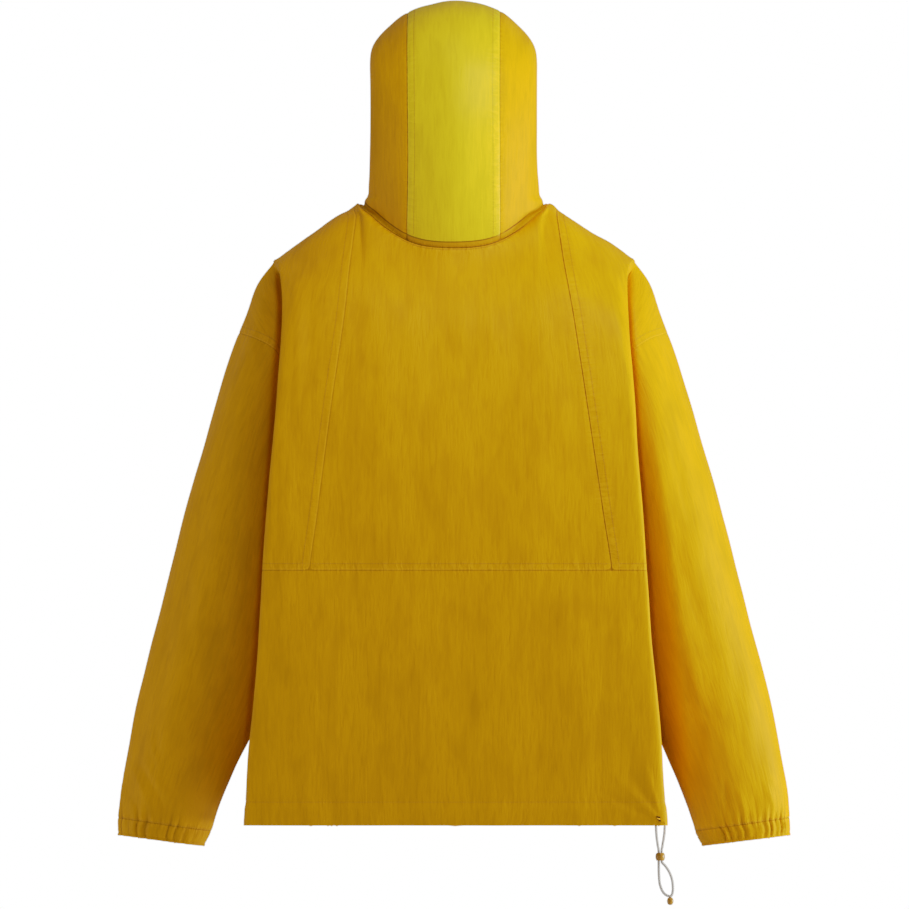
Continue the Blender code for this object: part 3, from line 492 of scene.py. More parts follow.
# ================================================================ curves
def hermite_slopes(keys, values):
    """Slopes of a smooth curve through the values that doesn't overshoot between them."""
    steps = np.diff(keys)
    rates = np.diff(values, axis=0) / steps[:, None]
    slopes = np.zeros_like(values)
    slopes[0], slopes[-1] = rates[0], rates[-1]
    same_way = rates[:-1] * rates[1:] > 0
    first = (2 * steps[1:] + steps[:-1])[:, None]
    second = (steps[1:] + 2 * steps[:-1])[:, None]
    with np.errstate(divide="ignore", invalid="ignore"):
        mean = (first + second) / (first / rates[:-1] + second / rates[1:])
    slopes[1:-1] = np.where(same_way, mean, 0.0)
    return slopes


def smooth(keys, values, at):
    """Reads a table of values smoothly: keys rise, values has a row for each key."""
    keys = np.asarray(keys, float)
    values = np.asarray(values, float).reshape(len(keys), -1)
    slopes = hermite_slopes(keys, values)
    at = np.clip(np.atleast_1d(at), keys[0], keys[-1])
    low = np.clip(np.searchsorted(keys, at, side="right") - 1, 0, len(keys) - 2)
    step = (keys[low + 1] - keys[low])[:, None]
    t = ((at - keys[low]) / (keys[low + 1] - keys[low]))[:, None]
    return (
        (2 * t**3 - 3 * t**2 + 1) * values[low]
        + (t**3 - 2 * t**2 + t) * step * slopes[low]
        + (3 * t**2 - 2 * t**3) * values[low + 1]
        + (t**3 - t**2) * step * slopes[low + 1]
    )


def lengths(points):
    """How far along its own line each point lies, from 0 to 1."""
    points = np.asarray(points, float)
    along = np.concatenate([[0.0], np.cumsum(np.linalg.norm(np.diff(points, axis=0), axis=1))])
    return along / along[-1]


def bezier(start, first, second, end, t):
    t = np.asarray(t)[:, None]
    return (
        (1 - t) ** 3 * start
        + 3 * (1 - t) ** 2 * t * first
        + 3 * (1 - t) * t**2 * second
        + t**3 * end
    )


def mix(low, high, share):
    return low + (high - low) * share


def ease(t):
    t = np.clip(t, 0.0, 1.0)
    return t * t * (3 - 2 * t)


def rises(value, start, whole):
    """0 before the start, 1 from where it is whole, and soft between them."""
    return ease((value - start) / (whole - start))


def read(table, at):
    """Reads a table smoothly by its first column."""
    return smooth([row[0] for row in table], [row[1:] for row in table], at)[0]


def follow(line, share):
    """The point at this share of a line's length."""
    return smooth(lengths(line), line, share)[0]


def body_section(z, face):
    """Fold x, fold y, middle y, side x and side y at a level; face is 1 for the back, -1 for the front."""
    fold_x, fold_back, fold_front, back, front, side_x, side_y = read(BODY, z)
    if face > 0:
        return fold_x, fold_back, back, side_x, side_y
    inset = FRONT_FOLD_INSET * ease((FRONT_INSET_TOP_Z - z) / FRONT_INSET_FADE)
    return fold_x - inset, fold_front, front, side_x, side_y


def ridge_point(along):
    return follow(RIDGE, along)


def ridge_along(x):
    """Where the shoulder ridge has this x. The ridge runs outwards all the way."""
    return float(np.interp(x, [p[0] for p in RIDGE], lengths(RIDGE)))


def neck_point(x, face):
    """A point of the neck seam over x, on the back or the front."""
    share = min(abs(x) / NECK_HALF_WIDTH, 1.0)
    middle_y, middle_z, power = (
        (NECK_BACK_Y, NECK_BACK_Z, NECK_BACK_POWER)
        if face > 0
        else (NECK_FRONT_Y, NECK_FRONT_Z, NECK_FRONT_POWER)
    )
    y = mix(NECK_SIDE_Y, middle_y, math.sqrt(1 - share**2))
    z = mix(middle_z, NECK_SIDE_Z, share**power)
    return np.array([x, y, z])


def top_point(x, face):
    """The upper edge of the body over x: neck seam inside the neck's width, shoulder ridge outside it."""
    if abs(x) <= NECK_HALF_WIDTH:
        return neck_point(x, face)
    return ridge_point(ridge_along(abs(x)))


def body_point(x, z, face):
    """The point of the back or the front over x, z."""
    fold_x, fold_y, middle_y, _, _ = body_section(z, face)
    share = min(x / fold_x, 1.0)
    power = SECTION_POWERS[face]
    section_y = fold_y + (middle_y - fold_y) * (1 - share**power) ** (1 / power)
    top = top_point(x, face)
    soft_top = np.mean([top_point(abs(x + step), face)[2] for step in TOP_SOFTENING])
    level = mix(top[2], soft_top, ease((top[2] - z) / TOP_SOFTENING_DEPTH))
    drop = np.clip((level - z) / SHOULDER_ROUNDING, 0.0, 1.0)
    near_neck = min(x / NECK_HALF_WIDTH, 1.0) ** 2
    rise = (1 - (1 - drop) ** 2) ** mix(ROUNDNESS_MIDDLE, ROUNDNESS_SHOULDER, near_neck)
    return np.array([x, mix(top[1], section_y, rise), z])


# ================================================================ body grids
def top_columns(side):
    """The columns' x along the upper edge, from the middle to the fold."""
    neck = [NECK_HALF_WIDTH * math.sin(math.radians(a)) for a in NECK_ANGLES]
    outer = np.linspace(BACK_SEAM_TOP_X[side], FOLD_TOP_X, SIDE_PANEL_STEPS + 1)
    return neck + list(outer)


def seam_x(z, side):
    """The tapered back seam, straight from the shoulder to the level seam and on below it."""
    share = (BACK_SEAM_TOP_Z - z) / (BACK_SEAM_TOP_Z - LEVEL_SEAM_Z)
    return mix(BACK_SEAM_TOP_X[side], BACK_SEAM_LOW_X[side], share)


def low_columns(z, face, side):
    """The columns' x across a level section, closer together towards the fold."""
    fold_x = body_section(z, face)[0]
    seam = min(seam_x(max(z, LEVEL_SEAM_Z), side), SEAM_LIMIT * fold_x)
    power = SECTION_POWERS[face]
    seam_turn = math.asin((seam / fold_x) ** (power / 2))
    inner = np.linspace(0, seam_turn, SEAM_COLUMN + 1)
    outer = np.linspace(seam_turn, math.pi / 2, SIDE_PANEL_STEPS + 1)
    return [fold_x * math.sin(turn) ** (2 / power) for turn in [*inner[:-1], *outer]]


def side_strip(fold, bottom, depth_scale):
    """Points from the fold in to the bottom of the groove or crease."""
    inwards, reach = fold[0] - bottom[0], (fold[1] - bottom[1]) * depth_scale
    first = fold - np.array([FOLD_TURN_IN * inwards, FOLD_TURN_BACK * reach, 0])
    second = bottom + np.array([0, GROOVE_TURN * reach, 0])
    return list(bezier(fold, first, second, bottom, np.linspace(0, 1, STRIP_STEPS + 1)[1:]))


def armhole_point(along, face):
    x, back_y, front_y, z = read(ARMHOLE, along)
    return np.array([x, back_y if face > 0 else front_y, z])


def crease_point(z, face):
    x, back_y, front_y = read(CREASE, z)
    return np.array([x, back_y if face > 0 else front_y, z])


def cap_strip(bottom, edge, along, face, sleeve_way):
    """Points from the crease out over the arm to the armhole seam."""
    span = np.linalg.norm(edge - bottom)
    down = mix(CAP_WAY_DOWN, CAP_WAY_DOWN_TOP + CAP_WAY_DOWN, along)
    out_way = np.array([CAP_WAY_OUT, CAP_WAY_BACK * face * (1 - along), -down])
    out_way /= np.linalg.norm(out_way)
    first = bottom + out_way * span / 3
    second = edge - sleeve_way * span / 3
    return list(bezier(bottom, first, second, edge, np.linspace(0, 1, CAP_STEPS + 1)[1:]))


def body_grid(face, side):
    """The points of one half of the back or the front, a row at a time from the hem to the top.

    The side is 1 for the wearer's left; x is positive here and turned later.
    """
    rows = []
    for z in LOW_ROWS:
        columns = [body_point(x, z, face) for x in low_columns(z, face, side)]
        section = body_section(z, face)
        bottom = np.array([section[3], section[4], z])
        columns += side_strip(columns[-1], bottom, 1.0)
        rows.append(columns + [bottom] * CAP_STEPS)
    tops = top_columns(side)
    for step in range(1, UPPER_ROWS + 1):
        share = step / UPPER_ROWS
        climb = 1 - (1 - share) ** ROW_CROWDING
        if step == UPPER_ROWS:
            rows.append(top_row(tops, face))
            continue
        columns = []
        for k, top_x in enumerate(tops):
            top_z = top_point(top_x, face)[2]
            z = mix(UNDERARM_Z, top_z, climb)
            low_x = low_columns(z, face, side)[k] if z < top_z else top_x
            x = mix(low_x, top_x, ease(climb) ** 2)
            if k == SEAM_COLUMN:
                x = seam_x(z, side)
            columns.append(body_point(min(x, body_section(z, face)[0]), z, face))
        fold = body_point(body_section(columns[-1][2], face)[0], columns[-1][2], face)
        columns[-1] = fold
        bottom = crease_point(mix(UNDERARM_Z, CREASE[-1][0], climb), face)
        columns += side_strip(fold, bottom, min(1.0, (1 - share) / STRIP_FADE_ROWS))
        edge = armhole_point(share, face)
        columns += cap_strip(bottom, edge, share, face, sleeve_direction(share, face))
        rows.append(columns)
    return np.array(rows)


def top_row(tops, face):
    """The neck seam, then the shoulder ridge out to the armhole."""
    columns = [top_point(x, face) for x in tops]
    fold, crease = ridge_along(FOLD_TOP_X), ridge_along(CREASE_TOP_X)
    for first, last, count in ((fold, crease, STRIP_STEPS), (crease, 1.0, CAP_STEPS)):
        columns += [ridge_point(along) for along in np.linspace(first, last, count + 1)[1:]]
    return columns


# ================================================================ sleeves
def ring_frame(outer, inner, half_depth, centre_y):
    """Centre, half width, way across and half depth of a ring of the sleeve."""
    outer = np.array([outer[0], centre_y, outer[1]])
    inner = np.array([inner[0], centre_y, inner[1]])
    across = outer - inner
    width = np.linalg.norm(across)
    return (outer + inner) / 2, width / 2, across / width, half_depth


def sleeve_frame(along):
    half_depth, centre_y = read(SLEEVE_DEPTH, along)
    return ring_frame(follow(SLEEVE_OUTER, along), follow(SLEEVE_INNER, along), half_depth, centre_y)


def ring_point(ring, turn):
    centre, half_width, across, half_depth = ring
    return centre + across * half_width * math.cos(turn) + np.array([0, half_depth * math.sin(turn), 0])


def sleeve_point(along, turn):
    """A point of the sleeve; turn 0 is the outer side, and a quarter turn the back."""
    point = ring_point(sleeve_frame(along), turn)
    fade = max(0.0, 1 - along / ARMHOLE_FADE) ** 2
    if fade > 0:
        back = math.sin(turn) >= 0
        share = 1 - (turn if back else 2 * math.pi - turn) / math.pi
        seam = armhole_point(share, 1 if back else -1)
        point = point + (seam - ring_point(sleeve_frame(0.0), turn)) * fade
    return point


def sleeve_direction(share, face):
    """The way that the sleeve leaves the armhole seam."""
    turn = math.pi * (1 - share)
    turn = turn if face > 0 else 2 * math.pi - turn
    way = sleeve_point(0.05, turn % (2 * math.pi)) - armhole_point(share, face)
    return way / np.linalg.norm(way)


def sleeve_rings():
    return [[sleeve_point(along, turn) for turn in RING_TURNS] for along in SLEEVE_ROWS]


def cuff_end():
    return ring_frame(CUFF_END_OUTER, CUFF_END_INNER, CUFF_END_HALF_DEPTH, CUFF_END_Y)


def cuff_rings():
    rings = []
    for row in CUFF_ROWS:
        between = (mix(start, end, row) for start, end in zip(sleeve_frame(1.0), cuff_end()))
        centre, half_width, across, half_depth = between
        ring = (centre, half_width, across / np.linalg.norm(across), half_depth)
        rings.append([ring_point(ring, turn) for turn in RING_TURNS])
    return rings


# ================================================================ hood
def hood_line(along):
    """The middle line's point and outward way at this share of its length."""
    y, z = follow(HOOD_LINE, along)
    low, high = (follow(HOOD_LINE, min(max(along + step, 0), 1)) for step in (-0.01, 0.01))
    run = (high - low) / np.linalg.norm(high - low)
    return np.array([0.0, y, z]), np.array([0.0, run[1], -run[0]])


def hood_across(point, out, x):
    """A point of the hood x away from its middle line, across the crown or the back of the head."""
    share = min(x / HOOD_HALF_WIDTH, 1.0)
    dip = HOOD_ROUNDING * (1 - (1 - share**HOOD_POWER) ** (1 / HOOD_POWER))
    return np.array([x, point[1], point[2]]) - out * dip


def hood_rib(along, side):
    """Points across the hood, from its middle line to the edge of the face opening.

    The ribs' outer stretches shrink to a point at the brow.
    """
    point, out = hood_line(along)
    centre_turn = math.asin((HOOD_CENTRE_HALF_WIDTH / HOOD_HALF_WIDTH) ** (HOOD_POWER / 2))
    turns = np.linspace(centre_turn, math.pi / 2, HOOD_ROUND_STEPS + 1)
    centre_xs = np.linspace(0, HOOD_CENTRE_HALF_WIDTH, HOOD_CENTRE_STEPS + 1)
    rib = [hood_across(point, out, x) for x in centre_xs[:-1]]
    round_side = [
        hood_across(point, out, HOOD_HALF_WIDTH * math.sin(turn) ** (2 / HOOD_POWER)) for turn in turns
    ]
    size = math.cos(math.pi / 2 * max(0.0, (along - HOOD_BROW_START) / (1 - HOOD_BROW_START)) ** 1.5)
    rib += [mix(round_side[0], corner, size) for corner in round_side]
    edge_along = along - HOOD_EDGE_LAG * along * (1 - along)
    edge = follow(HOOD_EDGE, edge_along)
    last = rib[-1]
    reach = np.linalg.norm(edge - last)
    leave = mix(-out, (edge - last) / max(reach, 1e-9), HOOD_FAN)
    lean = math.pi / 2 * min(edge[0] / HOOD_THROAT, 1.0)
    arrive = np.array([-math.cos(lean), -math.sin(lean), 0.0])
    first, second = last + leave * reach * HOOD_SIDE_TURN, edge - arrive * reach * HOOD_SIDE_TURN
    rib += list(bezier(last, first, second, edge, np.linspace(0, 1, HOOD_FLAT_STEPS + 1)[1:]))
    if along == 1.0:
        rib[HOOD_CENTRE_STEPS:] = [rib[HOOD_CENTRE_STEPS]] * len(rib[HOOD_CENTRE_STEPS:])
    neck = [top_point(x, 1) for x in top_columns(side)[: NECK_SIDE_COLUMN + 1]]
    neck += [top_point(x, -1) for x in top_columns(side)[NECK_SIDE_COLUMN - 1 :: -1]]
    near_neck = (1 - ease(along / HOOD_NECK_BLEND)) if along else 1.0
    return [mix(free, seam, near_neck) for free, seam in zip(rib, neck)]


def hood_grid(side):
    grid = np.array([hood_rib(k / HOOD_RIBS, side) for k in range(HOOD_RIBS + 1)])
    for _ in range(RELAX_PASSES):
        around = np.zeros_like(grid)
        around[1:-1, 1:-1] = (grid[:-2, 1:-1] + grid[2:, 1:-1] + grid[1:-1, :-2] + grid[1:-1, 2:]) / 4
        inner = (slice(1, -1), slice(HOOD_CENTRE_STEPS + 1, -1))
        grid[inner] = mix(grid[inner], around[inner], 0.5)
    return grid


# ================================================================ one cloth from all the grids
class Cloth:
    """All the panels on one shared surface.

    It holds points, faces, the panel of each face and its place on the flat cloth, and the edges that
    stay sharp.
    """

    def __init__(self):
        self.points, self.index, self.faces, self.panels, self.flat, self.sharp = [], {}, [], [], [], {}

    def add_point(self, point):
        key = tuple(np.round(np.asarray(point) / 1e-6).astype(int))
        if key not in self.index:
            self.index[key] = len(self.points)
            self.points.append(np.asarray(point, float))
        return self.index[key]

    def add_face(self, corners, flat, panel, turned):
        ring = [(c, uv) for k, (c, uv) in enumerate(zip(corners, flat)) if c != corners[k - 1]]
        if len(ring) < 3:
            return
        if turned:
            ring.reverse()
        self.faces.append(tuple(c for c, _ in ring))
        self.flat.append([uv for _, uv in ring])
        self.panels.append(PANELS.index(panel))

    def add_grid(self, grid, panel_of, turned, shift):
        """A grid of points, with its threads' lengths as the flat cloth's coordinates."""
        across = np.zeros(grid.shape[:2])
        across[:, 1:] = np.cumsum(np.linalg.norm(np.diff(grid, axis=1), axis=2), axis=1)
        along = np.zeros(grid.shape[:2])
        along[1:] = np.cumsum(np.linalg.norm(np.diff(grid, axis=0), axis=2), axis=0)
        across = across * (1 if turned else -1)
        ids = [[self.add_point(p) for p in row] for row in grid]
        for r in range(len(ids) - 1):
            for c in range(len(ids[r]) - 1):
                places = ((r, c), (r, c + 1), (r + 1, c + 1), (r + 1, c))
                flat = [(across[p] + shift, along[p] + shift) for p in places]
                self.add_face([ids[i][j] for i, j in places], flat, panel_of(r, c), turned)
        return ids

    def add_rings(self, rings, panel, turned, shift):
        """Rings of a tube, one under another."""
        rings = np.asarray(rings)
        girth = np.linalg.norm(np.diff(rings[len(rings) // 2], axis=0), axis=1).sum()
        drop = np.concatenate([[0], np.cumsum(np.linalg.norm(np.diff(rings.mean(1), axis=0), axis=1))])
        ids = [[self.add_point(p) for p in ring] for ring in rings]
        count = len(ids[0])
        for r in range(len(ids) - 1):
            for k in range(count):
                places = ((r, k), (r + 1, k), (r + 1, k + 1), (r, k + 1))
                flat = [(girth * j / count + shift, shift - drop[i]) for i, j in places]
                corners = [ids[i][j % count] for i, j in places]
                self.add_face(corners, flat, panel, turned)
        return ids


def lay_out_cloth():
    cloth = Cloth()
    for side, name in SIDE_NAMES.items():
        turn = np.array([side, 1, 1])

        def back_panel(row, column):
            if row < LEVEL_SEAM_ROW:
                return "back_lower"
            return "back_centre" if column < SEAM_COLUMN else f"back_side_{name}"

        def hood_panel(row, column):
            return "hood_centre" if column < HOOD_CENTRE_STEPS else f"hood_side_{name}"

        for face, panel_of in ((1, back_panel), (-1, lambda r, c: "front")):
            ids = cloth.add_grid(body_grid(face, side) * turn, panel_of, side * face > 0, 3.0 * face)
            for low, high in zip(ids, ids[1:-1]):
                cloth.sharp[(low[FOLD_COLUMN], high[FOLD_COLUMN])] = FOLD_SHARPNESS
        cloth.add_grid(hood_grid(side) * turn, hood_panel, side > 0, 6.0)
        cloth.add_rings(np.array(sleeve_rings()) * turn, f"sleeve_{name}", side < 0, 9.0 * side)
        cloth.add_rings(np.array(cuff_rings()) * turn, f"cuff_{name}", side < 0, 12.0 * side)
    return cloth


# ================================================================ fine surface
def placed(name, data):
    """A new object in the scene."""
    made = bpy.data.objects.new(name, data)
    bpy.context.scene.collection.objects.link(made)
    return made


def subdivided(cloth, points):
    """Points, quads, panels and flat places of the cloth after subdivision."""
    mesh = bpy.data.meshes.new("cloth_cage")
    mesh.from_pydata([tuple(p) for p in points], [], cloth.faces)
    mesh.polygons.foreach_set("material_index", cloth.panels)
    flat = mesh.uv_layers.new(name="cloth")
    flat.data.foreach_set("uv", np.array([uv for ring in cloth.flat for uv in ring]).ravel())
    sharp = {frozenset(edge): value for edge, value in cloth.sharp.items()}
    crease = mesh.attributes.new("crease_edge", "FLOAT", "EDGE")
    crease.data.foreach_set("value", [sharp.get(frozenset(e.vertices), 0.0) for e in mesh.edges])
    for _ in PANELS:
        mesh.materials.append(None)
    holder = placed("cloth_cage", mesh)
    divide = holder.modifiers.new("subdivide", "SUBSURF")
    divide.levels = divide.render_levels = SUBDIVISIONS
    divide.boundary_smooth = "ALL"
    bpy.context.view_layer.update()
    fine = holder.evaluated_get(bpy.context.evaluated_depsgraph_get()).to_mesh()
    count, faces = len(fine.vertices), len(fine.polygons)
    found, quads = np.empty(count * 3), np.empty(faces * 4, int)
    fine.vertices.foreach_get("co", found)
    fine.loops.foreach_get("vertex_index", quads)
    panels, places = np.empty(faces, int), np.empty(faces * 8)
    fine.polygons.foreach_get("material_index", panels)
    fine.uv_layers["cloth"].data.foreach_get("uv", places)
    holder.to_mesh_clear()
    bpy.data.objects.remove(holder)
    bpy.data.meshes.remove(mesh)
    return found.reshape(-1, 3), quads.reshape(-1, 4), panels, places.reshape(-1, 4, 2)


def outward(points, quads):
    """Each point's outward way."""
    corners = points[quads]
    way = np.cross(corners[:, 2] - corners[:, 0], corners[:, 3] - corners[:, 1])
    out = np.zeros_like(points)
    for k in range(4):
        np.add.at(out, quads[:, k], way)
    return out / np.maximum(np.linalg.norm(out, axis=1), 1e-12)[:, None]


def chained(pairs):
    """Lines of points from their single stretches."""
    beside = {}
    for a, b in pairs:
        beside.setdefault(a, []).append(b)
        beside.setdefault(b, []).append(a)
    used, lines = set(), []
    for start in sorted(beside, key=lambda p: len(beside[p]) == 2):
        for step in beside[start]:
            if frozenset((start, step)) in used:
                continue
            line, here, last = [start, step], step, start
            used.add(frozenset((start, step)))
            while len(beside[here]) == 2 and here != start:
                ahead = beside[here][0] if beside[here][1] == last else beside[here][1]
                if frozenset((here, ahead)) in used:
                    break
                used.add(frozenset((here, ahead)))
                line.append(ahead)
                last, here = here, ahead
            lines.append(line)
    return lines


def belongs(panel, words):
    """Whether the panel is one of a family: its whole name, or a name that starts so."""
    name = PANELS[panel]
    return any(word and (name == word or name.startswith(word + "_")) for word in words.split("|"))


def edge_table(quads, panels):
    """Every edge of the fine cloth with the two panels beside it; -1 where there is none."""
    ends = np.concatenate([quads[:, [k, (k + 1) % 4]] for k in range(4)])
    owner = np.tile(panels, 4)
    ends.sort(axis=1)
    order = np.lexsort((ends[:, 1], ends[:, 0]))
    ends, owner = ends[order], owner[order]
    first = np.ones(len(ends), bool)
    first[1:] = (ends[1:] != ends[:-1]).any(axis=1)
    starts = np.flatnonzero(first)
    single = np.diff(np.append(starts, len(ends))) == 1
    other = np.where(single, -1, owner[np.minimum(starts + 1, len(ends) - 1)])
    return ends[starts], owner[starts], other


def seam_kind(one, two):
    """Which row of SEAMS the seam between two panels is, or -1."""
    for k, (_, near, far, *_) in enumerate(SEAMS):
        if (belongs(one, near) and belongs(two, far)) or (belongs(two, near) and belongs(one, far)):
            return k
    return -1


def sampled(points, lines):
    """Close points along the lines, each with its length along its own line."""
    places, runs = [], []
    base = 0.0
    for line in lines:
        corners = points[line]
        steps = np.linalg.norm(np.diff(corners, axis=0), axis=1)
        along = np.concatenate([[0.0], np.cumsum(steps)])
        at = np.arange(0, along[-1], SAMPLE_STEP)
        places.append(np.stack([np.interp(at, along, corners[:, k]) for k in range(3)], axis=1))
        runs.append(at + base)
        base += along[-1] + 0.5
    return np.concatenate(places), np.concatenate(runs)


def nearest(places, runs, points, reach):
    """How far each point lies from the line, up to reach, and the length along it there."""
    tree = kdtree.KDTree(len(places))
    for k, place in enumerate(places):
        tree.insert(place, k)
    tree.balance()
    low, high = places.min(0) - reach, places.max(0) + reach
    far, run = np.full(len(points), reach), np.zeros(len(points))
    for k in np.flatnonzero(((points > low) & (points < high)).all(axis=1)):
        _, index, distance = tree.find(points[k])
        if distance < reach:
            far[k], run[k] = distance, runs[index]
    return far, run


def wander(along, pitch, seed):
    """Uneven waves along a line, from -1 to 1, from three pitches that don't repeat together."""
    a = np.asarray(along) * 2 * math.pi / pitch
    return (
        0.55 * np.sin(a + 1.7 * np.sin(a * 0.137 + seed) + seed)
        + 0.30 * np.sin(a * 0.617 + 2.1 * np.sin(a * 0.091 + 2 * seed) + 3.1 * seed)
        + 0.15 * np.sin(a * 1.713 + 5.3 * seed)
    )


def cloud(points, scale, seed):
    """Soft noise at each point, about -0.5 to 0.5. Scale is a bump's size for each axis."""
    at = points / np.asarray(scale) + seed
    return np.array([noise.noise(Vector(p)) for p in at])


def drawn_in(points, quads):
    """Draws the hood in above the neck, flares it out softly to the neck seam, and fills out the crown."""
    above = (points[:, 2] > NECK_SIDE_Z) & (np.abs(points[:, 0]) < NECK_HALF_WIDTH + 0.001)
    flare = 1 - ease((points[:, 2] - NECK_SIDE_Z) / HOOD_FLARE_TOP)
    limit = HOOD_WAIST + (NECK_HALF_WIDTH - HOOD_WAIST) * flare**1.5
    over = np.maximum(np.abs(points[:, 0]) - limit, 0)
    points[:, 0] -= np.where(above, np.sign(points[:, 0]) * over, 0)
    aside, z = np.abs(points[:, 0]), points[:, 2]
    flare = rises(aside, *FLARE_INNER) * rises(aside, *FLARE_OUTER)
    flare *= rises(z, *FLARE_TOP) * rises(z, *FLARE_FOOT)
    points[:, 0] += np.sign(points[:, 0]) * flare * FLARE_OUT
    corner = points * [0, 1, 1] + np.abs(points) * [1, 0, 0] - [NECK_HALF_WIDTH, NECK_SIDE_Y, NECK_SIDE_Z]
    share = 1 - ease(np.linalg.norm(corner, axis=1) / CORNER_REACH - 0.4)
    points[:, 2] += CORNER_LIFT * share
    local = quads[(share[quads] > 0).any(axis=1)]
    ones, twos = local.ravel(), local[:, [1, 2, 3, 0]].ravel()
    for _ in range(CORNER_PASSES):
        around, number = np.zeros_like(points), np.zeros(len(points))
        for start, end in ((ones, twos), (twos, ones)):
            np.add.at(around, start, points[end])
            np.add.at(number, start, 1)
        mean = around / np.maximum(number, 1)[:, None]
        points[:] = mix(points, mean, np.where(number > 3, 0.5 * share, 0)[:, None])
    points[:, 2] += CROWN_LIFT * rises(points[:, 2], *CROWN_SPAN)


def slotted(points, way, panel_points):
    """Presses the arms down beside the folds of the back, and gives the painted shade down in there for each
    point.
    """
    edge = np.array([body_point(body_section(row[0], 1)[0], row[0], 1) for row in BODY])
    x, y, z = points.T
    fold_x, fold_y = (smooth(edge[:, 2], edge[:, k], z)[:, 0] for k in (0, 1))
    beyond, deep, left = np.abs(x) - fold_x, fold_y - y, x > 0
    pressed = rises(deep, *SLOT_DEEP) * rises(way[:, 1], *SLOT_FACING)
    push = (1 - ease(beyond / SLOT_WIDTH)) * rises(z, *SLOT_TOP) * rises(z, *SLOT_FOOT) * SLOT_DEPTH
    slope = (1 - ease(beyond / SLOPE_WIDTH)) * rises(z, *SLOPE_TOP) * rises(z, *SLOPE_FOOT)
    push += slope * np.where(left, SLOPE_DEPTH[1], SLOPE_DEPTH[-1])
    # Painted shade down in the slope beside the fold, at the wearer's right only.
    painted_slot_shade = (1 - rises(beyond, *HOLLOW_SIDE)) * rises(deep, *HOLLOW_DEEP) * rises(way[:, 1], *HOLLOW_FACING)
    painted_slot_shade *= rises(z, *HOLLOW_TOP) * rises(z, *HOLLOW_FOOT)
    painted_slot_shade *= np.where(left, HOLLOW_SHADE[1], HOLLOW_SHADE[-1])
    arm = panel_points("sleeve|back_side|back_lower") & (beyond > -SLOT_REACH_IN)
    points[:, 1] -= np.where(arm, push * pressed, 0)
    points[:, 0] -= LEAN * rises(z, *LEAN_TOP) * (1 - rises(beyond, *LEAN_SIDE))
    return painted_slot_shade


def crease_rise(points, way, panel_points):
    """How far the listed troughs and ridges move each point."""
    rise = np.zeros(len(points))
    for words, face, x0, z0, x1, z1, width, depth in CREASES:
        mask = panel_points(words) & (way[:, 1] * face > -0.25)
        at = points[mask][:, [0, 2]]
        start, run = np.array([x0, z0]), np.array([x1 - x0, z1 - z0])
        length = np.linalg.norm(run)
        t = (at - start) @ run / length**2
        aside = (at - start) @ np.array([-run[1], run[0]]) / length
        inside = np.clip(t, 0, 1)
        beyond = (t - inside) * length
        spread = width * (0.55 + 0.9 * inside * (1 - inside) * 2)
        gap = np.sqrt(aside**2 + beyond**2)
        taper = np.sin(np.pi * np.clip(0.08 + 0.84 * inside, 0, 1))
        facing = ease((way[mask, 1] * face + 0.25) / 0.4)
        rise[mask] += depth * taper * np.exp(-((gap / spread) ** 2)) * facing
    return rise


def fitted(cloth):
    """The fine cloth, from a cage that is moved until the fine cloth passes close to the given points."""
    target = np.array(cloth.points)
    cage = target.copy()
    fold_top = np.array([FOLD_TOP_X, 0.0, ridge_point(ridge_along(FOLD_TOP_X))[2]])
    off = np.linalg.norm((np.abs(target) - np.abs(fold_top))[:, [0, 2]], axis=1)
    limit = FIT_LIMIT * mix(FIT_SHARE_AT_FOLD_TOP, 1.0, rises(off, *FOLD_TOP_SPAN))[:, None]
    for _ in range(FIT_PASSES):
        made = subdivided(cloth, cage)[0][: len(target)]
        cage = target + np.clip(cage - made, -limit, limit)
    return subdivided(cloth, cage)


def seam_lines(quads, panels):
    """The lines of every seam and free edge, by name."""
    ends, one, two = edge_table(quads, panels)
    kinds = np.array([seam_kind(a, b) if b >= 0 and a != b else -1 for a, b in zip(one, two)])
    lines = {row[0]: chained(ends[kinds == k].tolist()) for k, row in enumerate(SEAMS)}
    for name, words, _, _ in EDGES:
        lines[name] = chained(ends[(two < 0) & np.array([belongs(a, words) for a in one])].tolist())
    return lines


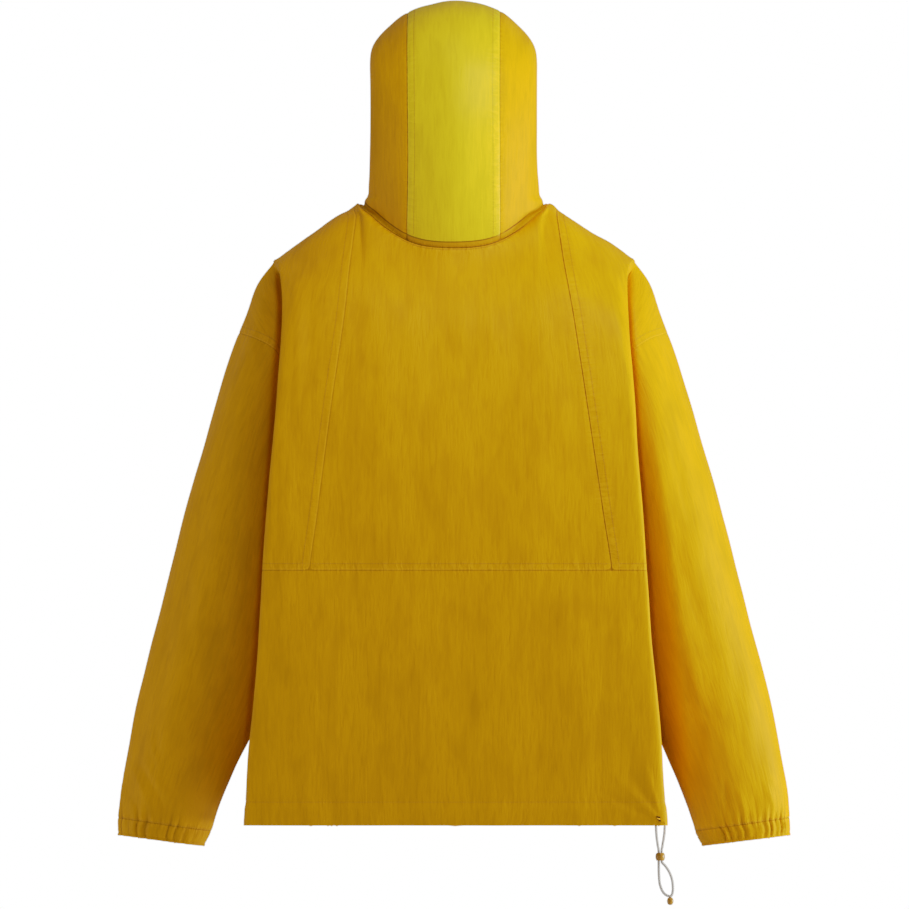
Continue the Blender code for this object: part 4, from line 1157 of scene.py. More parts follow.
def sewn(points, lines, panel_points, pucker):
    """How far each point is from each seam, what the nearest one does to it, its thickness and its rise."""
    count = len(points)
    near, casing, rise = {}, np.zeros(count), np.zeros(count)
    held = dict.fromkeys(("pull_run", "pull", "row", "dark"), np.zeros(count))
    held.update(pull_far=np.full(count, PULL_REACH), kind=np.zeros(count, int))

    def claim(closer, **values):
        for label, value in values.items():
            held[label] = np.where(closer, value, held[label])

    start, width, most = NECK_FADE
    fading = 1 - most * ease((start - points[:, 0]) / width) * (points[:, 1] > NECK_SIDE_Y)
    for k, (name, _, _, _, rows, strength, press, dark) in enumerate(SEAMS):
        far, run = nearest(*sampled(points, lines[name]), points, PULL_REACH)
        near[name] = far
        share = fading if name == "neck" else 1.0
        rise -= press * np.exp(-((far / PRESS_WIDTH) ** 2))
        waves = wander(run, PUCKER_PITCH, 0.7 + k) * strength * share
        rise += pucker * waves * np.exp(-far / PUCKER_REACH) * (1 - np.exp(-((far / PUCKER_START) ** 2)))
        claim(
            far < held["pull_far"], pull_far=far, pull_run=run + RUN_APART * k, pull=strength * share,
            kind=k, dark=dark * share, row=rows[-1] if rows else 0.0,
        )
    for k, (name, words, row, bulge) in enumerate(EDGES):
        far, run = nearest(*sampled(points, lines[name]), points, row * 1.9)
        near[name] = far
        mask = panel_points(words) & (far < row * 1.89)
        thick = ease((row - far) / (row * 0.35)) * (0.75 + 0.25 * ease(far / 0.006))
        casing += np.where(mask, bulge * thick, 0)
        to_row = np.abs(far - row)
        waves = pucker * EDGE_PULL * wander(run, EDGE_PITCH, 2.9 + k) * np.exp(-to_row / EDGE_REACH)
        rise += np.where(mask, waves - EDGE_PRESS * np.exp(-((to_row / PRESS_WIDTH) ** 2)), 0)
        claim(
            mask & (to_row < held["pull_far"]), pull_far=to_row, pull_run=run + RUN_APART * (10 + k),
            pull=EDGE_PULL, kind=len(SEAMS) + k, dark=EDGE_DARK, row=0.0,
        )
    return near, held, casing, rise


def quilt():
    """The whole cloth, fine and creased, made once, with what each point knows of its seams."""
    if WORK:
        return WORK
    sizes = bpy.context.scene.anorak_cloth
    points, quads, panels, flat = fitted(lay_out_cloth())
    drawn_in(points, quads)
    member = np.zeros((len(PANELS), len(points)), bool)
    for k in range(len(PANELS)):
        member[k, quads[panels == k].ravel()] = True

    def panel_points(words):
        return np.any([member[k] for k in range(len(PANELS)) if belongs(k, words)], axis=0)

    painted_slot_shade = slotted(points, outward(points, quads), panel_points)
    way = outward(points, quads)
    near, held, casing, rise = sewn(points, seam_lines(quads, panels), panel_points, sizes.pucker)
    drape = sum(cloud(points, scale, seed) * sizes.drape * share for scale, share, seed in DRAPE)
    calm = ease(near["neck"] / CALM_REACH) * ease(near["cuff"] / CALM_REACH)
    rise += drape * mix(CALM_SHARE, 1.0, calm) + crease_rise(points, way, panel_points)
    points += way * rise[:, None]
    valley = gathered(points, way, near, panel_points, sizes.gather)
    WORK.update(
        points=points, quads=quads, panels=panels, flat=flat, way=outward(points, quads), near=near,
        casing=casing, valley=np.maximum(valley, painted_slot_shade), **held,
    )
    return WORK


def gathered(points, way, near, panel_points, gather):
    """Draws up the cuffs and the sleeves above them, and gives the painted shade in the troughs of the
    gathers for each point.
    """
    centre, half_width, across, half_depth = cuff_end()
    valley = np.zeros(len(points))
    for side, name in SIDE_NAMES.items():
        mask = panel_points(f"cuff_{name}|sleeve_{name}") & (points[:, 2] < GATHER_TOP_Z)
        at = points[mask] * np.array([side, 1, 1])
        off = at - centre
        turn = np.arctan2(off[:, 1] / half_depth, off @ across / half_width)
        below = panel_points(f"cuff_{name}")[mask]
        above = near["cuff"][mask]
        on_cuff = 0.35 + 0.65 * ease(near["wrist"][mask] / 0.008)
        growth = np.where(below, on_cuff, np.exp(-((above / GATHER_REACH) ** 1.3)))
        plain = np.maximum(ease((at[:, 0] - CUFF_PLAIN_X) / 0.016), way[mask, 1] < 0)
        growth *= PLAIN_SHARE + (1 - PLAIN_SHARE) * plain
        bend = np.where(below, 9.0 * above * (1 - above / 0.022), 0)
        phase = CUFF_GATHERS[side] * (turn + bend) + 1.4 * np.sin(3 * turn + side) + 0.9 * np.sin(7 * turn)
        wave = 1.55 * (1 - np.abs(np.sin(phase / 2))) - 0.55 + 0.3 * np.cos(1.37 * phase + 2 * side)
        size = gather * (0.75 + 0.25 * np.sin(5 * turn + 2.1 * side))
        # Painted shade in the troughs of the gathers.
        valley[mask] = np.clip((wave - 0.25) / 0.75, 0, 1) * growth * (0.75 + 0.25 * np.sin(4 * turn))
        long_wave = np.cos(13 * turn + 1.3 * side + 0.8 * np.sin(2 * turn)) * gather * 0.3
        reach = np.exp(-above / LONG_FOLD_REACH) * (1 - np.exp(-above / LONG_FOLD_START))
        reach *= ease((-0.62 - at[:, 2]) / 0.08)
        points[mask] += way[mask] * (long_wave * np.where(below, 0, reach) - wave * size * growth)[:, None]
    return valley


# ================================================================ meshes from the fine surface
def mesh_from(name, points, quads):
    mesh = bpy.data.meshes.new(name)
    mesh.vertices.add(len(points))
    mesh.vertices.foreach_set("co", np.ascontiguousarray(points, np.float32).ravel())
    mesh.loops.add(quads.size)
    mesh.loops.foreach_set("vertex_index", np.ascontiguousarray(quads, np.int32).ravel())
    mesh.polygons.add(len(quads))
    mesh.polygons.foreach_set("loop_start", np.arange(0, quads.size, 4, dtype=np.int32))
    mesh.update(calc_edges=True)
    mesh.shade_smooth()
    return mesh


def add_piece(name, data, finish=None):
    """A piece that rides on the body."""
    if finish:
        data.materials.append(finish)
    made = placed(name, data)
    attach(made, "root")
    return made


def panel_piece(panel):
    """A closed thin wall of one panel, up to its seams, with rounded free edges."""
    work = quilt()
    index = PANELS.index(panel)
    chosen = work["panels"] == index
    used, local = np.unique(work["quads"][chosen], return_inverse=True)
    local = local.reshape(-1, 4)
    count = len(used)
    middle, way, casing = work["points"][used], work["way"][used], work["casing"][used]
    ends = np.concatenate([local[:, [k, (k + 1) % 4]] for k in range(4)])
    key = np.sort(ends, axis=1)
    _, first, number = np.unique(key[:, 0] * count + key[:, 1], return_index=True, return_counts=True)
    rim = ends[first[number == 1]]
    free_edge = np.min([work["near"][name][used] for name, *_ in EDGES], axis=0) < 1e-5
    run = middle[rim[:, 1]] - middle[rim[:, 0]]
    inwards = np.zeros_like(middle)
    for corner in (0, 1):
        inward = np.cross(way[rim[:, corner]], run)
        inward /= np.maximum(np.linalg.norm(inward, axis=1), 1e-12)[:, None]
        np.add.at(inwards, rim[:, corner], inward)
    half = bpy.context.scene.anorak_cloth.thickness / 2 + casing * 0.5
    outer = middle + way * (half + casing * 0.5)[:, None]
    inner = middle - way * half[:, None]
    # a rounded lip along the rim
    lip_ids, lip_local = np.unique(rim, return_inverse=True)
    bulge = np.where(free_edge[lip_ids], half[lip_ids], 0.0)
    size = np.linalg.norm(inwards[lip_ids], axis=1)
    turn_out = inwards[lip_ids] / np.maximum(size, 1e-9)[:, None]
    lip = (outer[lip_ids] + inner[lip_ids]) / 2 - turn_out * bulge[:, None]
    a, b = rim.T
    la, lb = lip_local.reshape(-1, 2).T + 2 * count
    quads = np.concatenate([
        local,
        local[:, ::-1] + count,
        np.stack([b, a, la, lb], axis=1),
        np.stack([lb, la, a + count, b + count], axis=1),
    ])
    mesh = mesh_from(f"{panel}_cloth", np.concatenate([outer, inner, lip]), quads)
    mesh.set_sharp_from_angle(angle=math.radians(EDGE_ANGLE))
    source = np.concatenate([used, used, used[lip_ids]])
    by_corner = work["flat"][chosen]
    flat = np.zeros((count, 2))
    flat[local.ravel()] = by_corner.reshape(-1, 2)
    rim_flat = flat[np.tile(np.stack([b, a, a, b], axis=1), (2, 1))]
    corner_uv = np.concatenate([by_corner, by_corner[:, ::-1], rim_flat])
    mesh.uv_layers.new(name="cloth").data.foreach_set("uv", corner_uv.ravel())
    seam = np.stack([work["pull_run"][source], work["pull_far"][source]], axis=1)[quads]
    torn = np.ptp(seam[:, :, 0], axis=1) > 0.05
    seam[torn, :, 0] = seam[torn, :1, 0]
    mesh.uv_layers.new(name="seam").data.foreach_set("uv", seam.ravel())
    stitched_here = np.array([belongs(index, seam_row[3]) for seam_row in SEAMS] + [True] * len(EDGES))
    row = np.where(stitched_here[work["kind"][source]], work["row"][source], 0.0)
    neck = np.full(len(source), FAR_FROM_NECK)
    if "hood" in panel:
        neck = work["near"]["neck"][source] / NECK_TAPE
    known = {label: work[label][source] for label in ("pull", "dark", "valley")}
    for label, values in {**known, "row": row, "topside": (row > 0) * 1.0, "neck": neck}.items():
        mesh.attributes.new(label, "FLOAT", "POINT").data.foreach_set("value", values)
    strip = panel == "hood_centre"
    made = add_piece(f"{panel}_cloth", mesh, nylon("centre" if strip else "nylon"))
    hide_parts(panel)


def contour(work, panel, far, level):
    """Lines on a panel where the distance from a seam has this value, with the ways out."""
    quads = work["quads"][work["panels"] == panel]
    tris = np.concatenate([quads[:, [0, 1, 2]], quads[:, [0, 2, 3]]])
    above = far[tris] > level
    cut = tris[(above.any(axis=1)) & (~above.all(axis=1))]
    places, pairs = {}, []
    for tri in cut:
        crossed = []
        for k in range(3):
            a, b = sorted((int(tri[k]), int(tri[(k + 1) % 3])))
            if (far[a] > level) != (far[b] > level):
                t = (level - far[a]) / (far[b] - far[a])
                places[(a, b)] = (
                    mix(work["points"][a], work["points"][b], t),
                    mix(work["way"][a], work["way"][b], t),
                    mix(work["casing"][a], work["casing"][b], t),
                )
                crossed.append((a, b))
        if len(crossed) == 2:
            pairs.append(tuple(crossed))
    return [[places[key] for key in line] for line in chained(pairs)]


def stitch_lines(group):
    """The rows of stitches of one group, as lines on top of the cloth."""
    work = quilt()
    sizes = bpy.context.scene.anorak_cloth
    rows = []
    for name, _, _, on, offsets, *_ in SEAMS:
        if name.split("_")[0] in group:
            rows += [(name, k, offset) for k in range(len(PANELS)) if belongs(k, on) for offset in offsets]
    for name, words, offset, _ in EDGES:
        if name in group:
            rows += [(name, k, offset) for k in range(len(PANELS)) if belongs(k, words)]
    lines = []
    for name, panel, offset in rows:
        for line in contour(work, panel, work["near"][name], offset):
            if len(line) < 4:
                continue
            lift = [sizes.thickness / 2 + casing for _, _, casing in line]
            lines.append([p + w * up for (p, w, _), up in zip(line, lift)])
    return lines


# ================================================================ node helpers
def node(tree, kind, at=(0, 0), **values):
    made = tree.nodes.new(kind)
    made.location = at
    for key, value in values.items():
        setattr(made, key, value)
    return made


def link(tree, source, target):
    tree.links.new(source, target)


def maths(tree, operation, one, two=None, three=None, clamp=False):
    made = node(tree, "ShaderNodeMath", operation=operation, use_clamp=clamp)
    for socket, value in zip(made.inputs, (one, two, three)):
        if value is None:
            continue
        if isinstance(value, bpy.types.NodeSocket):
            link(tree, value, socket)
        else:
            socket.default_value = value
    return made.outputs[0]


def node_group(name, kind, inputs, outputs):
    """A node group with these sockets. Each input is (name, kind, default, low, high)."""
    group = bpy.data.node_groups.new(name, kind)
    for label, socket, default, low, high in inputs:
        made = group.interface.new_socket(name=label, in_out="INPUT", socket_type=socket)
        if default is not None:
            made.default_value = default
        if low is not None:
            made.min_value, made.max_value = low, high
    for label, socket in outputs:
        group.interface.new_socket(name=label, in_out="OUTPUT", socket_type=socket)
    return group, node(group, "NodeGroupInput", (-900, 0)), node(group, "NodeGroupOutput", (900, 0))


def use_group(tree, group):
    made = node(tree, "ShaderNodeGroup")
    made.node_tree = group
    return made.outputs


def attribute(tree, name):
    return node(tree, "ShaderNodeAttribute", attribute_name=name).outputs["Fac"]


def uv_axes(tree, name):
    place = node(tree, "ShaderNodeUVMap", uv_map=name)
    split = node(tree, "ShaderNodeSeparateXYZ")
    link(tree, place.outputs[0], split.inputs[0])
    return split.outputs[0], split.outputs[1]


def flat_noise(tree, across, along, detail, distortion):
    """Noise over two coordinates of the cloth."""
    joined = node(tree, "ShaderNodeCombineXYZ")
    link(tree, across, joined.inputs[0])
    link(tree, along, joined.inputs[1])
    made = node(tree, "ShaderNodeTexNoise", noise_dimensions="2D")
    link(tree, joined.outputs[0], made.inputs["Vector"])
    for label, value in (("Scale", 1.0), ("Detail", detail), ("Distortion", distortion)):
        made.inputs[label].default_value = value
    return made.outputs["Fac"]


def bumped(tree, shader, height, depth):
    bump = node(tree, "ShaderNodeBump")
    bump.inputs["Distance"].default_value = depth
    link(tree, height, bump.inputs["Height"])
    link(tree, bump.outputs[0], shader.inputs["Normal"])


def crinkle_group():
    """Washed nylon: thin crinkles along the warp, softer ones over them, and the weave."""
    if "washed_crinkle" in bpy.data.node_groups:
        return bpy.data.node_groups["washed_crinkle"]
    group, given, out = node_group(
        "washed_crinkle",
        "ShaderNodeTree",
        [
            ("Across", "NodeSocketFloat", 400.0, 1.0, 5000.0),
            ("Along", "NodeSocketFloat", 48.0, 1.0, 5000.0),
            ("Evenness", "NodeSocketFloat", -0.3, -2.0, 1.0),
        ],
        [("Height", "NodeSocketFloat"), ("Tone", "NodeSocketFloat")],
    )
    u, v = uv_axes(group, "cloth")

    def threads(across, along, detail, distortion):
        across, along = maths(group, "MULTIPLY", u, across), maths(group, "MULTIPLY", v, along)
        return flat_noise(group, across, along, detail, distortion)

    lines = threads(given.outputs["Across"], given.outputs["Along"], 1.0, 0.4)
    patches = threads(30.0, 14.0, 2.0, 0.3)
    patchy = maths(group, "MULTIPLY_ADD", patches, 1.6, given.outputs["Evenness"], clamp=True)
    soft = threads(150.0, 18.0, 2.0, 0.4)
    height = maths(group, "MULTIPLY", lines, patchy)
    height = maths(group, "MULTIPLY_ADD", soft, 0.7, height)
    weave = threads(2600.0, 2600.0, 0.0, 0.0)
    height = maths(group, "MULTIPLY_ADD", weave, 0.04, height)
    link(group, height, out.inputs["Height"])
    link(group, threads(7.0, 4.0, 2.0, 0.0), out.inputs["Tone"])
    return group


def seam_group():
    """What a seam does to the cloth beside it: a pressed groove with a dark line, puckers that fade out, a
    painted highlight along its raised edge and painted shade along its stitch row.
    """
    if "seam_pull" in bpy.data.node_groups:
        return bpy.data.node_groups["seam_pull"]
    group, given, out = node_group(
        "seam_pull",
        "ShaderNodeTree",
        [
            ("Pitch", "NodeSocketFloat", 230.0, 1.0, 5000.0),
            ("Reach", "NodeSocketFloat", 0.007, 0.0005, 0.1),
        ],
        [
            ("Height", "NodeSocketFloat"), ("Groove", "NodeSocketFloat"), ("Puckers", "NodeSocketFloat"),
            ("Edge", "NodeSocketFloat"), ("Row", "NodeSocketFloat"),
        ],
    )
    run, far = uv_axes(group, "seam")
    pull, topside, row, seam_darkness = (attribute(group, name) for name in ("pull", "topside", "row", "dark"))

    def band(centre, half_width):
        aside = maths(group, "ABSOLUTE", maths(group, "SUBTRACT", far, centre))
        line = maths(group, "SUBTRACT", 1.0, maths(group, "DIVIDE", aside, half_width), clamp=True)
        return maths(group, "MULTIPLY", line, topside)

    across = maths(group, "MULTIPLY", run, given.outputs["Pitch"])
    waves = flat_noise(group, across, maths(group, "MULTIPLY", far, 70.0), 1.5, 0.25)
    waves = maths(group, "MULTIPLY_ADD", waves, 5.0, -2.0, clamp=True)
    beyond = maths(group, "MAXIMUM", maths(group, "SUBTRACT", far, row), 0.0)
    beyond = maths(group, "MULTIPLY", maths(group, "DIVIDE", beyond, given.outputs["Reach"]), -1.0)
    fade = maths(group, "POWER", 2.718, beyond)
    puckers = maths(group, "MULTIPLY", maths(group, "MULTIPLY", waves, fade), pull)
    groove = maths(group, "SUBTRACT", 1.2, maths(group, "DIVIDE", far, 0.0010), clamp=True)
    groove = maths(group, "MULTIPLY", groove, seam_darkness)
    turned_in = maths(group, "SUBTRACT", maths(group, "ADD", row, 0.0008), far)
    turned_in = maths(group, "DIVIDE", turned_in, 0.0016, clamp=True)
    height = maths(group, "MULTIPLY_ADD", groove, -0.6, puckers)
    height = maths(group, "MULTIPLY_ADD", maths(group, "MULTIPLY", turned_in, topside), 0.35, height)
    link(group, height, out.inputs["Height"])
    link(group, groove, out.inputs["Groove"])
    link(group, puckers, out.inputs["Puckers"])
    # Painted highlight: a pale line along the raised edge beside the seam, on its stitched side.
    link(group, band(0.0014, 0.0010), out.inputs["Edge"])
    # Painted shade: a dark line along the stitch row, on the stitched side.
    link(group, maths(group, "MULTIPLY", band(row, 0.0012), seam_darkness), out.inputs["Row"])
    return group


def new_finish(name, roughness, specular):
    made = bpy.data.materials.new(name)
    made.use_nodes = True
    shader = made.node_tree.nodes["Principled BSDF"]
    shader.inputs["Roughness"].default_value = roughness
    shader.inputs["Specular IOR Level"].default_value = specular
    return made, made.node_tree, shader


def two_tones(tree, low, high, share):
    blend = node(tree, "ShaderNodeMix", data_type="RGBA")
    for socket, value in ((6, low), (7, high)):
        if isinstance(value, bpy.types.NodeSocket):
            link(tree, value, blend.inputs[socket])
        else:
            blend.inputs[socket].default_value = (*value[:3], 1.0)
    link(tree, share, blend.inputs[0])
    return blend.outputs[2]


def nylon(cloth):
    """Washed nylon in one colour, darker in its seams, with crinkles and puckers in its surface; its colour
    holds painted shade in the crinkles, the folds and the stitch rows, and painted highlights on the puckers
    and beside the seams.
    """
    name, roughness, specular, crinkling = CLOTHS[cloth]
    if name in bpy.data.materials:
        return bpy.data.materials[name]
    look = bpy.context.scene.anorak_look
    colour, shade = [*getattr(look, cloth)], [*getattr(look, cloth + "_shade")]
    made, tree, shader = new_finish(name, roughness, specular)
    crinkle, seam = use_group(tree, crinkle_group()), use_group(tree, seam_group())
    # Painted shade in the crinkles' troughs, where the crinkles' height is low.
    painted_crinkle_shade = maths(tree, "MULTIPLY_ADD", crinkle["Height"], -1.3, 1.0, clamp=True)
    # Painted highlight on the crests of the puckers.
    painted_pucker_highlight = maths(tree, "MULTIPLY_ADD", seam["Puckers"], 0.75, -0.30, clamp=True)
    above = attribute(tree, "neck")
    rim = maths(tree, "ABSOLUTE", maths(tree, "SUBTRACT", above, 1.0))
    rim = maths(tree, "MULTIPLY_ADD", rim, -8.0, 1.2, clamp=True)
    dark = [shade[0] * 0.28, shade[1] * 0.17, 0]
    # The colour of the painted highlights.
    pale = [min(c * 1.22 + 0.01, 1.0) for c in colour]
    base = two_tones(tree, colour, shade, maths(tree, "MULTIPLY", crinkle["Tone"], 0.35, clamp=True))
    for tone, share in (
        # Painted shade in the crinkles' troughs.
        ([c * 0.62 for c in shade], maths(tree, "MULTIPLY", painted_crinkle_shade, 0.5)),
        # Painted highlights: on the crests of the puckers and along the raised edge beside a seam.
        (pale, maths(tree, "MAXIMUM", painted_pucker_highlight, maths(tree, "MULTIPLY", seam["Edge"], 0.55))),
        # Painted shade along the stitch rows of the seams.
        (dark, maths(tree, "MULTIPLY", seam["Row"], 0.42)),
        ([c * 0.80 for c in look.nylon], maths(tree, "MULTIPLY_ADD", above, -12.0, 12.0, clamp=True)),
        (dark, maths(tree, "MULTIPLY", rim, attribute(tree, "dark"))),
        # Painted shade in the troughs of the cuffs' gathers and down beside the folds of the back.
        (dark, maths(tree, "MULTIPLY", attribute(tree, "valley"), 0.55)),
        # A dark line along each seam; at a free edge, painted shade along its pressed stitch row.
        (dark, maths(tree, "MULTIPLY", seam["Groove"], 0.95)),
    ):
        base = two_tones(tree, base, tone, share)
    link(tree, base, shader.inputs["Base Color"])
    rough = maths(tree, "MULTIPLY_ADD", crinkle["Tone"], 0.12, roughness - 0.05, clamp=True)
    link(tree, rough, shader.inputs["Roughness"])
    height = maths(tree, "MULTIPLY", crinkle["Height"], 1.5)
    bumped(tree, shader, maths(tree, "MULTIPLY_ADD", seam["Height"], 1.7, height), look.crinkle * crinkling)
    return made


def thread_finish():
    if "thread" in bpy.data.materials:
        return bpy.data.materials["thread"]
    look = bpy.context.scene.anorak_look
    made, tree, shader = new_finish("thread", 0.6, 0.35)
    place = node(tree, "ShaderNodeTexCoord")
    twist = node(tree, "ShaderNodeTexNoise")
    link(tree, place.outputs["Object"], twist.inputs["Vector"])
    twist.inputs["Scale"].default_value = 1800.0
    colour = [*look.thread]
    dull, bright = [c * 0.75 for c in colour], [min(c * 1.2, 1.0) for c in colour]
    base = two_tones(tree, dull, bright, twist.outputs["Fac"])
    link(tree, base, shader.inputs["Base Color"])
    bumped(tree, shader, twist.outputs["Fac"], 0.0001)
    return made


def cord_finish():
    """Pale elastic cord with a fine braid over its core."""
    look = bpy.context.scene.anorak_look
    made, tree, shader = new_finish("elastic_cord", 0.42, 0.5)
    place = node(tree, "ShaderNodeTexCoord")
    braid = node(tree, "ShaderNodeTexWave", wave_type="BANDS", bands_direction="DIAGONAL")
    link(tree, place.outputs["Object"], braid.inputs["Vector"])
    braid.inputs["Scale"].default_value = 260.0
    braid.inputs["Distortion"].default_value = 1.5
    colour = [*look.cord]
    base = two_tones(tree, [c * 0.72 for c in colour], colour, braid.outputs["Fac"])
    link(tree, base, shader.inputs["Base Color"])
    bumped(tree, shader, braid.outputs["Fac"], 0.00012)
    return made


def bead_finish():
    """Moulded ochre plastic, faintly mottled."""
    if "moulded_bead" in bpy.data.materials:
        return bpy.data.materials["moulded_bead"]
    look = bpy.context.scene.anorak_look
    made, tree, shader = new_finish("moulded_bead", 0.33, 0.5)
    place = node(tree, "ShaderNodeTexCoord")
    mottle = node(tree, "ShaderNodeTexNoise")
    link(tree, place.outputs["Object"], mottle.inputs["Vector"])
    mottle.inputs["Scale"].default_value = 420.0
    mottle.inputs["Detail"].default_value = 3.0
    colour = [*look.bead]
    dull, bright = [c * 0.7 for c in colour], [min(c * 1.15, 1) for c in colour]
    base = two_tones(tree, dull, bright, mottle.outputs["Fac"])
    link(tree, base, shader.inputs["Base Color"])
    rough = maths(tree, "MULTIPLY_ADD", mottle.outputs["Fac"], 0.15, 0.27)
    link(tree, rough, shader.inputs["Roughness"])
    return made


# ================================================================ stitches
def stitch_group():
    """Stitches at an even pitch along the given lines: geometry nodes, ended in real meshes."""
    if "stitch_rows" in bpy.data.node_groups:
        return bpy.data.node_groups["stitch_rows"]
    group, given, out = node_group(
        "stitch_rows",
        "GeometryNodeTree",
        [
            ("Lines", "NodeSocketGeometry", None, None, None),
            ("Pitch", "NodeSocketFloat", 0.0030, 0.0005, 0.05),
            ("Stitch Length", "NodeSocketFloat", 0.0022, 0.0002, 0.05),
            ("Thread", "NodeSocketFloat", 0.0004, 0.0001, 0.01),
            ("Seed", "NodeSocketInt", 7, 0, 1000),
            ("Finish", "NodeSocketMaterial", None, None, None),
        ],
        [("Stitches", "NodeSocketGeometry")],
    )
    to_curve = node(group, "GeometryNodeMeshToCurve")
    link(group, given.outputs["Lines"], to_curve.inputs["Mesh"])
    spots = node(group, "GeometryNodeCurveToPoints", mode="LENGTH")
    link(group, to_curve.outputs[0], spots.inputs["Curve"])
    link(group, given.outputs["Pitch"], spots.inputs["Length"])
    ball = node(group, "GeometryNodeMeshUVSphere")
    ball.inputs["Segments"].default_value = 6
    ball.inputs["Rings"].default_value = 4
    ball.inputs["Radius"].default_value = 0.5
    size = node(group, "ShaderNodeCombineXYZ")
    link(group, given.outputs["Stitch Length"], size.inputs[2])
    link(group, given.outputs["Thread"], size.inputs[0])
    link(group, given.outputs["Thread"], size.inputs[1])
    shaped = node(group, "GeometryNodeTransform")
    link(group, ball.outputs["Mesh"], shaped.inputs["Geometry"])
    link(group, size.outputs[0], shaped.inputs["Scale"])
    turned = node(group, "FunctionNodeAlignRotationToVector", axis="Z")
    link(group, spots.outputs["Tangent"], turned.inputs["Vector"])
    uneven = node(group, "FunctionNodeRandomValue", data_type="FLOAT")
    for socket in uneven.inputs:
        if socket.enabled and socket.name == "Min":
            socket.default_value = 0.85
        elif socket.enabled and socket.name == "Max":
            socket.default_value = 1.12
        elif socket.name == "Seed":
            link(group, given.outputs["Seed"], socket)
    amount = next(s for s in uneven.outputs if s.enabled)
    laid = node(group, "GeometryNodeInstanceOnPoints")
    link(group, spots.outputs["Points"], laid.inputs["Points"])
    link(group, shaped.outputs[0], laid.inputs["Instance"])
    link(group, turned.outputs[0], laid.inputs["Rotation"])
    link(group, amount, laid.inputs["Scale"])
    real = node(group, "GeometryNodeRealizeInstances")
    link(group, laid.outputs[0], real.inputs[0])
    dyed = node(group, "GeometryNodeSetMaterial")
    link(group, real.outputs[0], dyed.inputs["Geometry"])
    link(group, given.outputs["Finish"], dyed.inputs["Material"])
    link(group, dyed.outputs[0], out.inputs[0])
    return group


def stitched(name, lines):
    """One mesh of stitches along these lines."""
    sizes = bpy.context.scene.anorak_stitches
    points, edges = [], []
    for line in lines:
        edges += [(len(points) + k, len(points) + k + 1) for k in range(len(line) - 1)]
        points += [tuple(p) for p in line]
    mesh = bpy.data.meshes.new(name + "_lines")
    mesh.from_pydata(points, edges, [])
    holder = placed(name + "_lines", mesh)
    group = stitch_group()
    work = holder.modifiers.new("stitches", "NODES")
    work.node_group = group
    values = {
        "Pitch": sizes.pitch, "Stitch Length": sizes.length, "Thread": sizes.thread,
        "Seed": sizes.seed, "Finish": thread_finish(),
    }
    for item in group.interface.items_tree:
        if item.item_type == "SOCKET" and item.in_out == "INPUT" and item.name in values:
            work[item.identifier] = values[item.name]
    bpy.context.view_layer.update()
    seen = holder.evaluated_get(bpy.context.evaluated_depsgraph_get())
    made = bpy.data.meshes.new_from_object(seen)
    made.name = name
    holder.modifiers.clear()
    bpy.data.objects.remove(holder)
    bpy.data.meshes.remove(mesh)
    if not made.polygons:
        raise RuntimeError(f"{name}: no stitches were made")
    made.shade_smooth()
    add_piece(name, made)


# ================================================================ settings
def length_setting(label, about, default, low, high):
    return bpy.props.FloatProperty(
        name=label, description=about, default=default, min=low, max=high, unit="LENGTH"
    )


def colour_setting(label, about, default):
    return bpy.props.FloatVectorProperty(
        name=label, description=about, subtype="COLOR", default=default, min=0, max=1
    )


class AnorakCloth(bpy.types.PropertyGroup):
    """Sizes of the cloth and of its creases."""

    thickness: length_setting("Cloth", "Thickness of the cloth wall", 0.0009, 0.0003, 0.003)
    pucker: length_setting("Puckers", "Height of the puckers beside a seam", 0.0005, 0, 0.004)
    drape: length_setting("Drape", "Depth of the cloth's soft unevenness", 0.0022, 0, 0.01)
    gather: length_setting("Gathers", "Height of the gathers at the cuffs", 0.0019, 0, 0.006)


class AnorakStitches(bpy.types.PropertyGroup):
    """Sizes of the stitches."""

    pitch: length_setting("Pitch", "From one stitch to the next", 0.0030, 0.001, 0.01)
    length: length_setting("Length", "Length of one stitch", 0.0022, 0.0005, 0.01)
    thread: length_setting("Thread", "Thickness of the thread", 0.0004, 0.0001, 0.002)
    seed: bpy.props.IntProperty(
        name="Seed", description="Which uneven row of stitches is made", default=7, min=0
    )


class AnorakLook(bpy.types.PropertyGroup):
    """Colours and finish."""

    nylon: colour_setting("Nylon", "Colour of the main cloth", (0.700, 0.345, 0.001))
    nylon_shade: colour_setting("Nylon shade", "Darker tone of the main cloth", (0.560, 0.250, 0.0005))
    centre: colour_setting("Hood strip", "Colour of the strip over the hood", (0.770, 0.540, 0.010))
    centre_shade: colour_setting("Hood strip shade", "Darker tone of the strip", (0.620, 0.410, 0.004))
    thread: colour_setting("Thread", "Colour of the thread", (0.52, 0.25, 0.002))
    cord: colour_setting("Cord", "Colour of the elastic cord", (0.62, 0.60, 0.56))
    bead: colour_setting("Beads", "Colour of the beads", (0.46, 0.22, 0.006))
    crinkle: length_setting("Crinkles", "Depth of the fine crinkles", 0.00026, 0, 0.003)


class AnorakStage(bpy.types.PropertyGroup):
    """Camera, lights and floor."""

    distance: length_setting("Camera distance", "From the garment to the camera", 30.0, 2, 100)
    width: length_setting("View width", "Width of the view at the back of the garment", 1.0908, 0.3, 4)
    centre: bpy.props.FloatVectorProperty(
        name="View centre", description="Point at the middle of the view", subtype="TRANSLATION",
        default=(-0.0012, 0.10, -0.2982), unit="LENGTH",
    )
    floor: length_setting("Floor", "Height of the floor", -1.50, -5, -0.9)
    key: bpy.props.FloatProperty(
        name="Key light", description="Power of the key light", default=3.75, min=0, max=5000
    )
    fill: bpy.props.FloatProperty(
        name="Fill", description="Strength of the surrounding light", default=0.25, min=0, max=5
    )
    key_colour: colour_setting("Key colour", "Colour of the key light", (1.0, 1.0, 1.0))
    fill_colour: colour_setting("Fill colour", "Colour of the surrounding light", (1.0, 0.93, 0.86))


